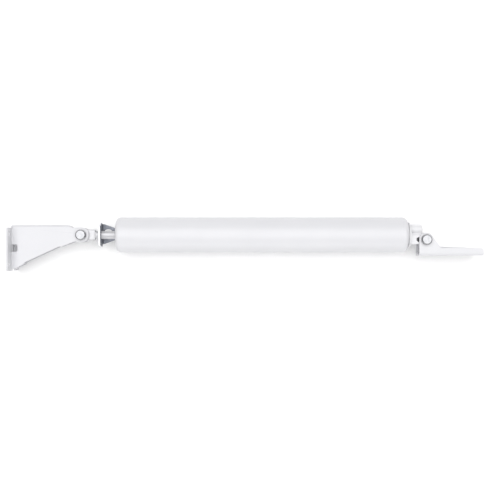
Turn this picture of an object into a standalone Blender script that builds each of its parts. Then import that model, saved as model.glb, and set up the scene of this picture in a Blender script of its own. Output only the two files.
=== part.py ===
"""A pneumatic door closer: a spring-loaded tube that slides on a steel rod between two pinned brackets.

The jamb's face is the plane x = 0 and the tube's axis is the X axis. +Y points away from the door, and
both pins stand along Z. The closer is modelled closed, with the rod all the way in. Metres throughout.
"""
import math

import bmesh
import bpy

# Clearances
FIT = 0.0003                    # between pieces that touch or turn in each other
ROD_FIT = 0.0005                # between the rod and the loose hold-open washer
ROD_SWING_PLAY = 0.0009         # between the rod and each of the jamb bracket's cheeks
EAR_PLAY = 0.0004               # between the plug's tongue and each of the door bracket's ears
WASHER_PLAY = 0.0033            # between the rod's flattened part and the hold-open washer
NOSE_PLAY = 0.0030              # between the hold-open washer and the tube's nose
NECK_PLAY = 0.001175            # between the plug's neck and the tube's rolled mouth
SHOULDER_INSET = 0.000275       # from the tube's mouth in to the plug's shoulder

# Round pieces
TUBE_SEGMENTS = 48
ROUND_SEGMENTS = 32
SMALL_SEGMENTS = 24
ARC_STEPS = 5

# Tube
TUBE_DIAMETER = 0.03175
TUBE_WALL = 0.0011
TUBE_LENGTH = 0.2625
NOSE_CORNER = 0.0038            # outer radius of the end that is rolled over the rod guide
TAIL_CORNER = 0.0042            # outer radius of the end that is rolled over the end plug
ROLLED_LIP = 0.0043             # how far each rolled end turns in from the outside

# Rod
ROD_DIAMETER = 0.0072
EYE_WIDTH = 0.0104
NECK_WIDTH = 0.0095
EYE_THICKNESS = 0.0060
NECK_END = 0.0109               # from the pin to the end of the flattened part
NECK_BLEND = 0.0019
EYE_SQUARENESS = 7.0            # of the flattened part's section; 2 is round
NECK_SQUARENESS = 6.0
BLEND_SQUARENESS = 3.4
BLEND_MIDDLE = 0.4              # how far along the blend its middle section lies
BLEND_WIDTH = 0.95              # that section's width against the neck's
EYE_SECTIONS = 8
STUD_DIAMETER = 0.0050          # the turned-down inner end that carries the piston

# Rod guide and spring seats
GUIDE_LENGTH = 0.0140
SEAT_THICKNESS = 0.0015

# Piston
PISTON_LENGTH = 0.0100
PISTON_LAND = 0.0025            # each end's full-width band
PISTON_RELIEF = 0.0012
CUP_BASE = 0.0022
CUP_LIP = 0.0065
CUP_WALL = 0.0016
CUP_HEEL = 0.0011               # how high the cup's rounded heel is
CUP_HEEL_INSET = 0.00064
CUP_LIP_EDGE = 0.0008
CUP_FLOOR_INSET = 0.00192
RETAINER_INSET = 0.00352        # from the bore's pieces in to the retainer's rim
RETAINER_THICKNESS = 0.0012
NUT_HEIGHT = 0.0040
NUT_ACROSS_FLATS = 0.0080
STUD_STICK_OUT = 0.0012
END_GAP = 0.0040                # between the stud's end and the end plug with the door shut

# Closing spring
WIRE_DIAMETER = 0.0017
SPRING_TURNS = 23
SPRING_STEPS = 10               # straight pieces in each turn
CLOSE_PITCH = 1.12              # the end turns' pitch, in wire diameters
SPRING_PLAY = 0.0018            # between the spring's outside and the tube's bore

# End plug
PLUG_DEPTH = 0.0177             # how far the plug reaches into the tube
PLUG_RING_DEPTH = 0.0019
PLUG_RING_WIDTH = 0.0024
PLUG_RING_FROM_FACE = 0.0040
SHOULDER_GAP = 0.0009
SHOULDER_THICKNESS = 0.0014
SHOULDER_CHAMFER = 0.0004
TONGUE_HEIGHT = 0.0083
TONGUE_THICKNESS = 0.0126
PIN_REACH = 0.0162              # from the tube's end to the door pin
TONGUE_INSET = 0.00205          # from the tongue's lower face in from the neck's radius
POCKET_DIAMETER = 0.0038
POCKET_DEPTH = 0.0055
POCKET_FROM_PIN = 0.0062

# Valve in the end plug
VALVE_INSET = 0.0009            # from the boss's upper side in from the neck's radius
VALVE_BOSS_DIAMETER = 0.0092
VALVE_BOSS_REACH = 0.0137       # from the tube's end
VALVE_BOSS_CORNER = 0.0011
VALVE_RIB_THICKNESS = 0.0062    # the flat rib that joins the boss to the tongue
VALVE_RIB_REACH = 0.0128        # from the tube's end
SCREW_DIAMETER = 0.0054
SCREW_LENGTH = 0.0190
SCREW_RECESS = 0.0008           # the screw's head below the boss's end
SCREW_SLOT = 0.0010
SCREW_SLOT_DEPTH = 0.0012
SCREW_RING_SECTION = 0.0009
NEEDLE_RADIUS = 0.0007
NEEDLE_LENGTH = 0.0045

# Pins and their clips
PIN_DIAMETER = 0.0050
PIN_HEAD_DIAMETER = 0.0096
PIN_HEAD_FLAT = 0.0058
PIN_HEAD_HEIGHT = 0.0036
PIN_HEAD_RIM = 0.0012
PIN_TAIL = 0.0018
PIN_CHAMFER = 0.0004
CLIP_THICKNESS = 0.0008
CLIP_WIDTH = 0.0022
CLIP_GROOVE_DEPTH = 0.0008
CLIP_OPENING = 0.8              # half the ring's opening, against its inner radius

# Sheet steel of both brackets
SHEET = 0.0015
BEND_RADIUS = 0.0010            # inside radius along the edges that run towards the pins

# Jamb bracket
JAMB_PIN_X = 0.0639
WEB_TOP = 0.0089
WEB_END = 0.0517
WEB_SLOPE_END = 0.0557
FLANGE_BEND_RADIUS = 0.0012
FLANGE_WIDTH = 0.0125
FLANGE_BOTTOM = -0.0323
FLANGE_CORNER = 0.0025
FLANGE_HOLE_SHARE = 0.62        # how far across its flange each screw hole lies
JAMB_EYE_RADIUS = 0.0067
HEEL = (0.0022, -0.0308)        # the slanted edge, from the flange to the eye
NOTCH_START = (0.0121, -0.0264)
NOTCH_FOOT = (0.0130, -0.0247)
NOTCH_HEAD = (0.0440, -0.0104)
NOTCH_END = (0.0458, -0.0106)
EYE_FOOT = (0.0584, -0.0058)
SCREW_HOLE_DIAMETER = 0.0048
JAMB_HOLE_HEIGHTS = (0.0009, -0.0264)
WINDOW_LENGTH = 0.0068
WINDOW_TOP = -0.0086
WINDOW_BOTTOM = -0.0152
WINDOW_CORNER = 0.0015
TAB_BOTTOM = -0.0190            # the web's end is folded down over the jamb to here

# Door bracket
DOOR_STANDOFF = 0.002725        # from the tube's underside down to the outer face of the base
DOOR_HEEL = 0.0062              # from the pin back to the bracket's end
DOOR_REACH = 0.0514             # from the pin forward to the bracket's end
DOOR_LIP_HEIGHT = 0.0068
DOOR_SLOPE_TOP = (0.0052, 0.0034)      # from the pin
DOOR_SLOPE_FOOT = (0.0119, -0.0058)
DOOR_FOOT_RUN = 0.0010
DOOR_END_CORNER = 0.0026
FAR_LIP_RISE = 0.0013
FAR_LIP_RUN = 0.0360
DOOR_HOLES = (0.0220, 0.0400)          # from the pin

# Hold-open washer
WASHER_SHEET = 0.0014
WASHER_NEAR = 0.0085            # the plate's edge on the side of the pins' heads
WASHER_FAR = 0.0095             # the outside of its leg
WASHER_NEAR_HALF = 0.0083
WASHER_PEAK = -0.0020
WASHER_PEAK_HALF = 0.01135
WASHER_ROOT_HALF = 0.00915
WASHER_TIP_HALF = 0.0056
WASHER_REACH = 0.0122
WASHER_BEND = 0.0009
LEG_HOLE_DIAMETER = 0.0092
LEG_HOLE_FROM_FACE = 0.0062
WASHER_TURN = 6.0               # how the loose washer hangs, in degrees about the rod

# Values that follow from the sizes above
TUBE_RADIUS = TUBE_DIAMETER / 2
BORE_RADIUS = TUBE_RADIUS - TUBE_WALL
MOUTH_RADIUS = TUBE_RADIUS - ROLLED_LIP
INNER_RADIUS = BORE_RADIUS - FIT           # pieces that fill the tube's bore
NECK_RADIUS = MOUTH_RADIUS - NECK_PLAY
SHOULDER_RADIUS = MOUTH_RADIUS - SHOULDER_INSET
PIN_DROP = NECK_RADIUS - TONGUE_HEIGHT / 2 - TONGUE_INSET          # from the tube's axis to the door pin
VALVE_OFFSET = NECK_RADIUS - VALVE_BOSS_DIAMETER / 2 - VALVE_INSET  # from the tube's axis to the valve's
ROD_RADIUS = ROD_DIAMETER / 2
ROD_BORE = ROD_RADIUS + FIT
STUD_RADIUS = STUD_DIAMETER / 2
STUD_BORE = STUD_RADIUS + FIT
PIN_RADIUS = PIN_DIAMETER / 2
PIN_BORE = PIN_RADIUS + FIT
JAMB_HALF_WIDTH = ROD_RADIUS + ROD_SWING_PLAY + SHEET              # to the outside of a cheek
DOOR_HALF_WIDTH = TONGUE_THICKNESS / 2 + EAR_PLAY + SHEET          # to the outside of an ear
DOOR_PLANE = -TUBE_RADIUS - DOOR_STANDOFF                          # the outer face of its base
WASHER_FROM_PIN = NECK_END + NECK_BLEND + WASHER_PLAY
NOSE_GAP = WASHER_FROM_PIN + WASHER_REACH + NOSE_PLAY              # from the jamb pin to the tube's nose
PLUG_FACE = TUBE_LENGTH - PLUG_DEPTH       # all of these run from the tube's nose
STUD_END = PLUG_FACE - END_GAP
NUT_START = STUD_END - STUD_STICK_OUT - NUT_HEIGHT
RETAINER_START = NUT_START - FIT - RETAINER_THICKNESS
CUP_START = RETAINER_START - FIT - CUP_BASE
PISTON_START = CUP_START - FIT - PISTON_LENGTH
ROD_SHOULDER = PISTON_START - FIT
REAR_SEAT_START = ROD_SHOULDER - SEAT_THICKNESS
FRONT_SEAT_START = GUIDE_LENGTH + FIT
SPRING_OUTSIDE = BORE_RADIUS - SPRING_PLAY
SCREW_RADIUS = SCREW_DIAMETER / 2
VALVE_BORE = SCREW_RADIUS + FIT
SCREW_END = TUBE_LENGTH + VALVE_BOSS_REACH - SCREW_RECESS

STEEL_WHITE = ("white_enamelled_steel", (0.80, 0.80, 0.815), 0.35, 0.0)
STEEL_BRIGHT = ("bright_steel", (0.62, 0.63, 0.65), 0.28, 1.0)
STEEL_ZINC = ("zinc_plated_steel", (0.50, 0.53, 0.58), 0.38, 1.0)
STEEL_SPRING = ("spring_steel", (0.30, 0.31, 0.33), 0.40, 1.0)
PLASTIC_WHITE = ("white_acetal", (0.78, 0.78, 0.79), 0.42, 0.0)
PLASTIC_BLACK = ("black_nylon", (0.03, 0.03, 0.035), 0.50, 0.0)
RUBBER_BLACK = ("black_rubber", (0.015, 0.015, 0.016), 0.75, 0.0)
BRASS = ("brass", (0.72, 0.55, 0.25), 0.35, 1.0)


def clear_scene():
    """Remove whatever the file opened with."""
    for thing in list(bpy.data.objects):
        bpy.data.objects.remove(thing, do_unlink=True)


def material_for(node, recipe):
    """A Principled material of the node's own, from (name, colour, roughness, metallic)."""
    name, colour, roughness, metallic = recipe
    material = bpy.data.materials.new(f"{node}.{name}")
    material.use_nodes = True
    shader = material.node_tree.nodes["Principled BSDF"]
    shader.inputs["Base Color"].default_value = (*colour, 1.0)
    shader.inputs["Roughness"].default_value = roughness
    shader.inputs["Metallic"].default_value = metallic
    material.diffuse_color = (*colour, 1.0)
    return material


def empty(name, location, parent=None):
    """An empty on a joint's axis, placed from its parent."""
    frame = bpy.data.objects.new(name, None)
    frame.empty_display_size = 0.01
    frame.location = location
    frame.parent = parent
    bpy.context.scene.collection.objects.link(frame)
    return frame


def place(name, bm, recipe, parent, location=(0, 0, 0), smooth=True):
    """Turn a bmesh into an object with its own material, placed from its parent."""
    mesh = bpy.data.meshes.new(name)
    bm.to_mesh(mesh)
    bm.free()
    if smooth:
        mesh.shade_smooth()
        mesh.set_sharp_from_angle(angle=math.radians(32))
    piece = bpy.data.objects.new(name, mesh)
    if recipe:
        mesh.materials.append(material_for(name, recipe))
    piece.location = location
    piece.parent = parent
    bpy.context.scene.collection.objects.link(piece)
    return piece


def arc(centre, radius, start, end, steps=ARC_STEPS):
    """Points on an arc, both ends included. Angles are in degrees."""
    points = []
    for step in range(steps + 1):
        angle = math.radians(start + (end - start) * step / steps)
        points.append((centre[0] + radius * math.cos(angle), centre[1] + radius * math.sin(angle)))
    return points


def turned(profile, segments):
    """A solid turned about its own X axis from a closed loop of (x, radius)."""
    bm = bmesh.new()
    rings = []
    for x, radius in profile:
        if radius < FIT / 100:
            rings.append([bm.verts.new((x, 0, 0))])
            continue
        turns = [2 * math.pi * step / segments for step in range(segments)]
        rings.append([bm.verts.new((x, radius * math.cos(a), radius * math.sin(a))) for a in turns])
    for ring, following in zip(rings, rings[1:] + rings[:1]):
        join_rings(bm, ring, following)
    bmesh.ops.recalc_face_normals(bm, faces=bm.faces)
    return bm


def join_rings(bm, ring, following):
    """Faces between two rings, either of which may be a single point on the axis."""
    count = max(len(ring), len(following))
    if len(ring) == 1 and len(following) == 1:
        return
    for step in range(count):
        after = (step + 1) % count
        if len(ring) == 1:
            bm.faces.new((ring[0], following[step], following[after]))
        elif len(following) == 1:
            bm.faces.new((ring[step], following[0], ring[after]))
        else:
            bm.faces.new((ring[step], following[step], following[after], ring[after]))


def prism(outline, low, high):
    """An outline in the XY plane carried straight from z = low to z = high."""
    bm = bmesh.new()
    base = bm.faces.new([bm.verts.new((x, y, low)) for x, y in outline])
    raised = bmesh.ops.extrude_face_region(bm, geom=[base])["geom"]
    top = [item for item in raised if isinstance(item, bmesh.types.BMVert)]
    bmesh.ops.translate(bm, verts=top, vec=(0, 0, high - low))
    bmesh.ops.recalc_face_normals(bm, faces=bm.faces)
    return bm


def loft(sections, steps):
    """A bar along X through sections of (x, half width, half thickness, squareness)."""
    bm = bmesh.new()
    rings = []
    for x, half_y, half_z, squareness in sections:
        ring = []
        for step in range(steps):
            angle = 2 * math.pi * step / steps
            y = math.copysign(abs(math.cos(angle)) ** (2 / squareness), math.cos(angle))
            z = math.copysign(abs(math.sin(angle)) ** (2 / squareness), math.sin(angle))
            ring.append(bm.verts.new((x, half_y * y, half_z * z)))
        rings.append(ring)
    for ring, following in zip(rings, rings[1:]):
        join_rings(bm, ring, following)
    bm.faces.new(rings[0])
    bm.faces.new(rings[-1])
    bmesh.ops.recalc_face_normals(bm, faces=bm.faces)
    return bm


def ring_section(centre_x, inner, outer, steps=8):
    """The round section of an O-ring between two radii."""
    half = (outer - inner) / 2
    return arc((centre_x, inner + half), half, 0, 360 - 360 / steps, steps - 1)


def cut(piece, tool, operation="DIFFERENCE"):
    """Give a piece a Boolean with a tool that isn't part of the model."""
    tool.hide_render = True
    tool.display_type = "WIRE"
    modifier = piece.modifiers.new(tool.name, "BOOLEAN")
    modifier.operation = operation
    modifier.solver = "EXACT"
    modifier.object = tool


def drill(piece, name, centre, direction, radius, length, segments=SMALL_SEGMENTS):
    """Cut a round hole along X, Y or Z, centred on a point of the piece's parent frame."""
    bm = turned([(-length / 2, 0), (-length / 2, radius), (length / 2, radius), (length / 2, 0)], segments)
    tool = place(name, bm, None, piece.parent, centre)
    half_step = math.pi / segments
    turns = {"X": (half_step, 0, 0), "Y": (half_step, 0, math.pi / 2), "Z": (half_step, -math.pi / 2, 0)}
    tool.rotation_euler = turns[direction]
    cut(piece, tool)


def sheet_metal(name, faces, thickness, recipe, parent, mirrored):
    """A bent sheet, drawn as its middle surface and thickened to both sides."""
    bm = bmesh.new()
    for face in faces:
        bm.faces.new([bm.verts.new(point) for point in face])
    bmesh.ops.remove_doubles(bm, verts=bm.verts, dist=FIT / 100)
    bmesh.ops.recalc_face_normals(bm, faces=bm.faces)
    piece = place(name, bm, recipe, parent)
    if mirrored:
        mirror = piece.modifiers.new("other_side", "MIRROR")
        mirror.use_axis = (False, False, True)
        mirror.merge_threshold = 0.00001
    solid = piece.modifiers.new("thickness", "SOLIDIFY")
    solid.thickness = thickness
    solid.offset = 0
    solid.use_even_offset = True
    return piece


def bend_strip(centre, radius, start, end, low, high, place_point, steps=4):
    """The quads of a bend: an arc in one plane carried between two values across it."""
    points = arc(centre, radius, start, end, steps)
    strip = []
    for near, far in zip(points, points[1:]):
        strip.append([place_point(*near, low), place_point(*far, low),
                      place_point(*far, high), place_point(*near, high)])
    return strip


def make_jamb_bracket(frame):
    """A channel with a screw flange on each cheek. Its web, on the side away from the door, ends in a
    tab that is folded down against the jamb between the cheeks."""
    cheek = JAMB_HALF_WIDTH - SHEET / 2
    web = WEB_TOP - SHEET / 2
    bend = BEND_RADIUS + SHEET / 2
    flange_bend = FLANGE_BEND_RADIUS + SHEET / 2
    start = SHEET / 2 + flange_bend
    tab_start = SHEET / 2 + bend
    shoulder = web - bend
    past_eye = JAMB_PIN_X + JAMB_EYE_RADIUS + SHEET
    flange_end = JAMB_HALF_WIDTH + FLANGE_WIDTH
    flange_start = cheek + flange_bend
    faces = [
        [(start, FLANGE_BOTTOM, cheek), (past_eye, FLANGE_BOTTOM, cheek),
         (past_eye, shoulder, cheek), (start, shoulder, cheek)],
        [(start, web, 0), (past_eye, web, 0), (past_eye, web, cheek - bend), (start, web, cheek - bend)],
    ]
    faces += [
        [(tab_start, web, 0), (start, web, 0), (start, web, cheek - bend), (tab_start, web, cheek - bend)],
        [(SHEET / 2, TAB_BOTTOM, 0), (SHEET / 2, shoulder, 0),
         (SHEET / 2, shoulder, cheek - bend), (SHEET / 2, TAB_BOTTOM, cheek - bend)],
    ]
    faces += bend_strip((tab_start, shoulder), bend, 90, 180, 0, cheek - bend, lambda x, y, z: (x, y, z))
    faces += bend_strip((shoulder, cheek - bend), bend, 0, 90, start, past_eye, lambda y, z, x: (x, y, z))
    faces += bend_strip((start, flange_start), flange_bend, 180, 270, FLANGE_BOTTOM, shoulder,
                        lambda x, z, y: (x, y, z))
    low_corner = (FLANGE_BOTTOM + FLANGE_CORNER, flange_end - FLANGE_CORNER)
    high_corner = (shoulder - FLANGE_CORNER, flange_end - FLANGE_CORNER)
    rim = [(FLANGE_BOTTOM, flange_start)]
    rim += arc(low_corner, FLANGE_CORNER, 180, 90)
    rim += arc(high_corner, FLANGE_CORNER, 90, 0)
    rim += [(shoulder, flange_start)]
    faces.append([(SHEET / 2, y, z) for y, z in rim])
    bracket = sheet_metal("jamb_bracket", faces, SHEET, STEEL_WHITE, frame, mirrored=True)

    outside = FLANGE_WIDTH + JAMB_HALF_WIDTH + SHEET
    slope = (JAMB_EYE_RADIUS - WEB_TOP) / (WEB_SLOPE_END - WEB_END)
    outline = [(-SHEET, WEB_TOP + SHEET), (WEB_END + SHEET / slope, WEB_TOP + SHEET),
               (WEB_SLOPE_END, JAMB_EYE_RADIUS)]
    outline += arc((JAMB_PIN_X, 0), JAMB_EYE_RADIUS, 90, -90, 12)
    outline += [EYE_FOOT, NOTCH_END, NOTCH_HEAD, NOTCH_FOOT, NOTCH_START, HEEL]
    outline += [(HEEL[0], FLANGE_BOTTOM - SHEET), (-SHEET, FLANGE_BOTTOM - SHEET)]
    blank = place("jamb_bracket_outline", prism(outline, -outside, outside), None, frame)
    cut(bracket, blank, "INTERSECT")

    window = arc((WINDOW_LENGTH - WINDOW_CORNER, WINDOW_TOP - WINDOW_CORNER), WINDOW_CORNER, 90, 0, 3)
    window += arc((WINDOW_LENGTH - WINDOW_CORNER, WINDOW_BOTTOM + WINDOW_CORNER), WINDOW_CORNER, 0, -90, 3)
    window += [(SHEET, WINDOW_BOTTOM), (SHEET, WINDOW_TOP)]
    tool = place("jamb_window_tool", prism(window, -outside, outside), None, frame)
    cut(bracket, tool)
    drill(bracket, "jamb_pin_hole_tool", (JAMB_PIN_X, 0, 0), "Z", PIN_BORE, 4 * JAMB_HALF_WIDTH)
    for index, height in enumerate(JAMB_HOLE_HEIGHTS):
        for flange, side in (("upper", 1), ("lower", -1)):
            centre = (0, height, side * (JAMB_HALF_WIDTH + FLANGE_WIDTH * FLANGE_HOLE_SHARE))
            name = f"jamb_screw_hole_tool_{flange}_{index}"
            drill(bracket, name, centre, "X", SCREW_HOLE_DIAMETER / 2, 6 * SHEET)
    return bracket


def make_pin(name, half_width, frame, recipe):
    """A headed pin along Z with a groove for its clip below the lower cheek."""
    head_start = half_width + FIT
    head_end = head_start + PIN_HEAD_HEIGHT
    head_radius = PIN_HEAD_DIAMETER / 2
    flat = PIN_HEAD_FLAT / 2
    groove_top = -half_width
    groove_bottom = groove_top - CLIP_THICKNESS - 2 * FIT
    groove = PIN_RADIUS - CLIP_GROOVE_DEPTH
    end = groove_bottom - PIN_TAIL
    profile = [(end, 0), (end, PIN_RADIUS - PIN_CHAMFER), (end + PIN_CHAMFER, PIN_RADIUS),
               (groove_bottom, PIN_RADIUS), (groove_bottom, groove), (groove_top, groove),
               (groove_top, PIN_RADIUS), (head_start, PIN_RADIUS), (head_start, head_radius),
               (head_start + PIN_HEAD_RIM, head_radius)]
    drop = head_end - head_start - PIN_HEAD_RIM
    for step in range(1, ARC_STEPS + 1):
        angle = math.pi / 2 * step / ARC_STEPS
        radius = flat + (head_radius - flat) * math.cos(angle)
        profile.append((head_start + PIN_HEAD_RIM + drop * math.sin(angle), radius))
    profile.append((head_end, 0))
    pin = place(name, turned(profile, SMALL_SEGMENTS), recipe, frame)
    pin.rotation_euler = (0, -math.pi / 2, 0)
    return pin


def make_clip(name, half_width, frame):
    """An open retaining ring that snaps into the pin's groove."""
    inner = PIN_RADIUS - CLIP_GROOVE_DEPTH + FIT
    outer = PIN_RADIUS + CLIP_WIDTH
    opening = inner * CLIP_OPENING
    gap = math.degrees(math.asin(opening / outer))
    mouth = math.degrees(math.asin(opening / inner))
    outline = arc((0, 0), outer, -90 + gap, 270 - gap, 22)
    outline += arc((0, 0), inner, 270 - mouth, -90 + mouth, 16)
    top = -half_width - FIT
    return place(name, prism(outline, top - CLIP_THICKNESS, top), STEEL_SPRING, frame)


def make_rod(frame):
    """The piston rod: a flattened eye, a round shank and a turned-down stud for the piston."""
    eye = EYE_WIDTH / 2
    neck = NECK_WIDTH / 2
    flat = EYE_THICKNESS / 2
    sections = []
    for step in range(1, EYE_SECTIONS + 1):
        angle = math.pi - math.pi / 2 * step / EYE_SECTIONS
        sections.append((eye * math.cos(angle), eye * math.sin(angle), flat, EYE_SQUARENESS))
    sections.append((NECK_END, neck, flat, NECK_SQUARENESS))
    sections.append((NECK_END + NECK_BLEND * BLEND_MIDDLE, neck * BLEND_WIDTH, flat + FIT, BLEND_SQUARENESS))
    sections.append((NECK_END + NECK_BLEND, ROD_RADIUS, ROD_RADIUS, 2))
    sections.append((NOSE_GAP + ROD_SHOULDER, ROD_RADIUS, ROD_RADIUS, 2))
    sections.append((NOSE_GAP + ROD_SHOULDER, STUD_RADIUS, STUD_RADIUS, 2))
    sections.append((NOSE_GAP + STUD_END - PIN_CHAMFER, STUD_RADIUS, STUD_RADIUS, 2))
    sections.append((NOSE_GAP + STUD_END, STUD_RADIUS - PIN_CHAMFER, STUD_RADIUS - PIN_CHAMFER, 2))
    rod = place("piston_rod", loft(sections, SMALL_SEGMENTS), STEEL_BRIGHT, frame)
    drill(rod, "rod_eye_tool", (0, 0, 0), "Z", PIN_BORE, 4 * flat)
    return rod


def make_hold_open_washer(frame):
    """A bent plate on the rod: it locks the rod when it is slid to the tube's nose and tilted."""
    plate = WASHER_SHEET / 2
    bend = WASHER_BEND + WASHER_SHEET / 2
    leg = -WASHER_FAR + WASHER_SHEET / 2
    bend_z = leg + bend
    face = [(WASHER_NEAR_HALF, WASHER_NEAR), (WASHER_PEAK_HALF, WASHER_PEAK), (WASHER_ROOT_HALF, bend_z)]
    outline = face + [(-y, z) for y, z in reversed(face)]
    faces = [[(plate, y, z) for y, z in outline]]
    faces += bend_strip((plate + bend, bend_z), bend, 180, 270, -WASHER_ROOT_HALF, WASHER_ROOT_HALF,
                        lambda x, z, y: (x, y, z))
    root = plate + bend
    faces.append([(root, WASHER_ROOT_HALF, leg), (WASHER_REACH, WASHER_TIP_HALF, leg),
                  (WASHER_REACH, -WASHER_TIP_HALF, leg), (root, -WASHER_ROOT_HALF, leg)])
    washer = sheet_metal("hold_open_washer", faces, WASHER_SHEET, STEEL_ZINC, frame, mirrored=False)
    drill(washer, "washer_rod_hole_tool", (plate, 0, 0), "X", ROD_RADIUS + ROD_FIT, 4 * WASHER_SHEET)
    drill(washer, "washer_leg_hole_tool", (LEG_HOLE_FROM_FACE, 0, leg), "Z", LEG_HOLE_DIAMETER / 2,
          4 * WASHER_SHEET)
    return washer


def make_tube(frame):
    """The tube, with both ends rolled in over what they hold."""
    nose = (NOSE_CORNER, TUBE_RADIUS - NOSE_CORNER)
    tail = (TUBE_LENGTH - TAIL_CORNER, TUBE_RADIUS - TAIL_CORNER)
    profile = [(TUBE_WALL, MOUTH_RADIUS), (0, MOUTH_RADIUS)]
    profile += arc(nose, NOSE_CORNER, 180, 90)
    profile += arc(tail, TAIL_CORNER, 90, 0)
    profile += [(TUBE_LENGTH, MOUTH_RADIUS), (TUBE_LENGTH - TUBE_WALL, MOUTH_RADIUS)]
    profile += arc(tail, TAIL_CORNER - TUBE_WALL, 0, 90, 3)
    profile += arc(nose, NOSE_CORNER - TUBE_WALL, 90, 180, 3)
    return place("closer_tube", turned(profile, TUBE_SEGMENTS), STEEL_WHITE, frame)


def make_rod_guide(frame):
    """The bush in the tube's nose that the rod slides through."""
    corner = NOSE_CORNER - TUBE_WALL - FIT
    front = TUBE_WALL + FIT
    profile = [(FIT, ROD_BORE), (FIT, MOUTH_RADIUS - FIT), (front, MOUTH_RADIUS - FIT)]
    profile += arc((front + corner, INNER_RADIUS - corner), corner, 180, 90, 3)
    profile += [(GUIDE_LENGTH, INNER_RADIUS), (GUIDE_LENGTH, ROD_BORE)]
    return place("rod_guide", turned(profile, ROUND_SEGMENTS), PLASTIC_WHITE, frame)


def make_washer(name, start, thickness, inner, outer, recipe, frame):
    """A flat washer on the tube's axis."""
    profile = [(0, inner), (0, outer), (thickness, outer), (thickness, inner)]
    return place(name, turned(profile, ROUND_SEGMENTS), recipe, frame, (start, 0, 0))


def make_spring(frame):
    """The closing spring: an open coil with its end turns wound close."""
    start = FRONT_SEAT_START + SEAT_THICKNESS + FIT + WIRE_DIAMETER / 2
    end = REAR_SEAT_START - FIT - WIRE_DIAMETER / 2
    close_pitch = WIRE_DIAMETER * CLOSE_PITCH
    open_pitch = (end - start - 2 * close_pitch) / (SPRING_TURNS - 2)
    radius = SPRING_OUTSIDE - WIRE_DIAMETER / 2
    curve = bpy.data.curves.new("closing_spring", "CURVE")
    curve.dimensions = "3D"
    curve.bevel_depth = WIRE_DIAMETER / 2
    curve.bevel_resolution = 1
    curve.render_resolution_u = 0
    curve.use_fill_caps = True
    spline = curve.splines.new("POLY")
    spline.points.add(SPRING_TURNS * SPRING_STEPS)
    for index, point in enumerate(spline.points):
        turn = index / SPRING_STEPS
        middle = min(max(turn - 1, 0), SPRING_TURNS - 2)
        x = start + close_pitch * (turn - middle) + open_pitch * middle
        angle = 2 * math.pi * turn
        point.co = (x, radius * math.cos(angle), radius * math.sin(angle), 1)
    spline.use_smooth = True
    spring = bpy.data.objects.new("closing_spring", curve)
    curve.materials.append(material_for("closing_spring", STEEL_SPRING))
    spring.parent = frame
    bpy.context.scene.collection.objects.link(spring)
    return spring


def make_piston(frame):
    """The piston's body, with a relief that leaves it two lands to run on."""
    land = PISTON_LAND
    waist = INNER_RADIUS - PISTON_RELIEF
    profile = [(0, STUD_BORE), (0, INNER_RADIUS), (land, INNER_RADIUS), (land, waist),
               (PISTON_LENGTH - land, waist), (PISTON_LENGTH - land, INNER_RADIUS),
               (PISTON_LENGTH, INNER_RADIUS), (PISTON_LENGTH, STUD_BORE)]
    return place("piston_body", turned(profile, ROUND_SEGMENTS), PLASTIC_BLACK, frame, (PISTON_START, 0, 0))


def make_cup_seal(frame):
    """The cup that seals while the door closes and lets air past while it opens."""
    outer = INNER_RADIUS
    profile = [(0, STUD_BORE), (0, outer - CUP_WALL), (CUP_HEEL, outer - CUP_HEEL_INSET),
               (CUP_LIP, outer), (CUP_LIP, outer - CUP_LIP_EDGE), (CUP_BASE, outer - CUP_FLOOR_INSET),
               (CUP_BASE, STUD_BORE)]
    return place("piston_cup_seal", turned(profile, ROUND_SEGMENTS), RUBBER_BLACK, frame, (CUP_START, 0, 0))


def make_nut(frame):
    """The hexagon nut on the rod's stud."""
    corner = NUT_ACROSS_FLATS / math.sqrt(3)
    outline = arc((0, 0), corner, 0, 300, 5)
    bm = prism(outline, 0, NUT_HEIGHT)
    nut = place("piston_nut", bm, STEEL_ZINC, frame, (NUT_START, 0, 0), smooth=False)
    nut.rotation_euler = (0, math.pi / 2, 0)
    middle = (NUT_START + NUT_HEIGHT / 2, 0, 0)
    drill(nut, "nut_bore_tool", middle, "X", STUD_BORE, 2 * NUT_HEIGHT)
    return nut


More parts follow.
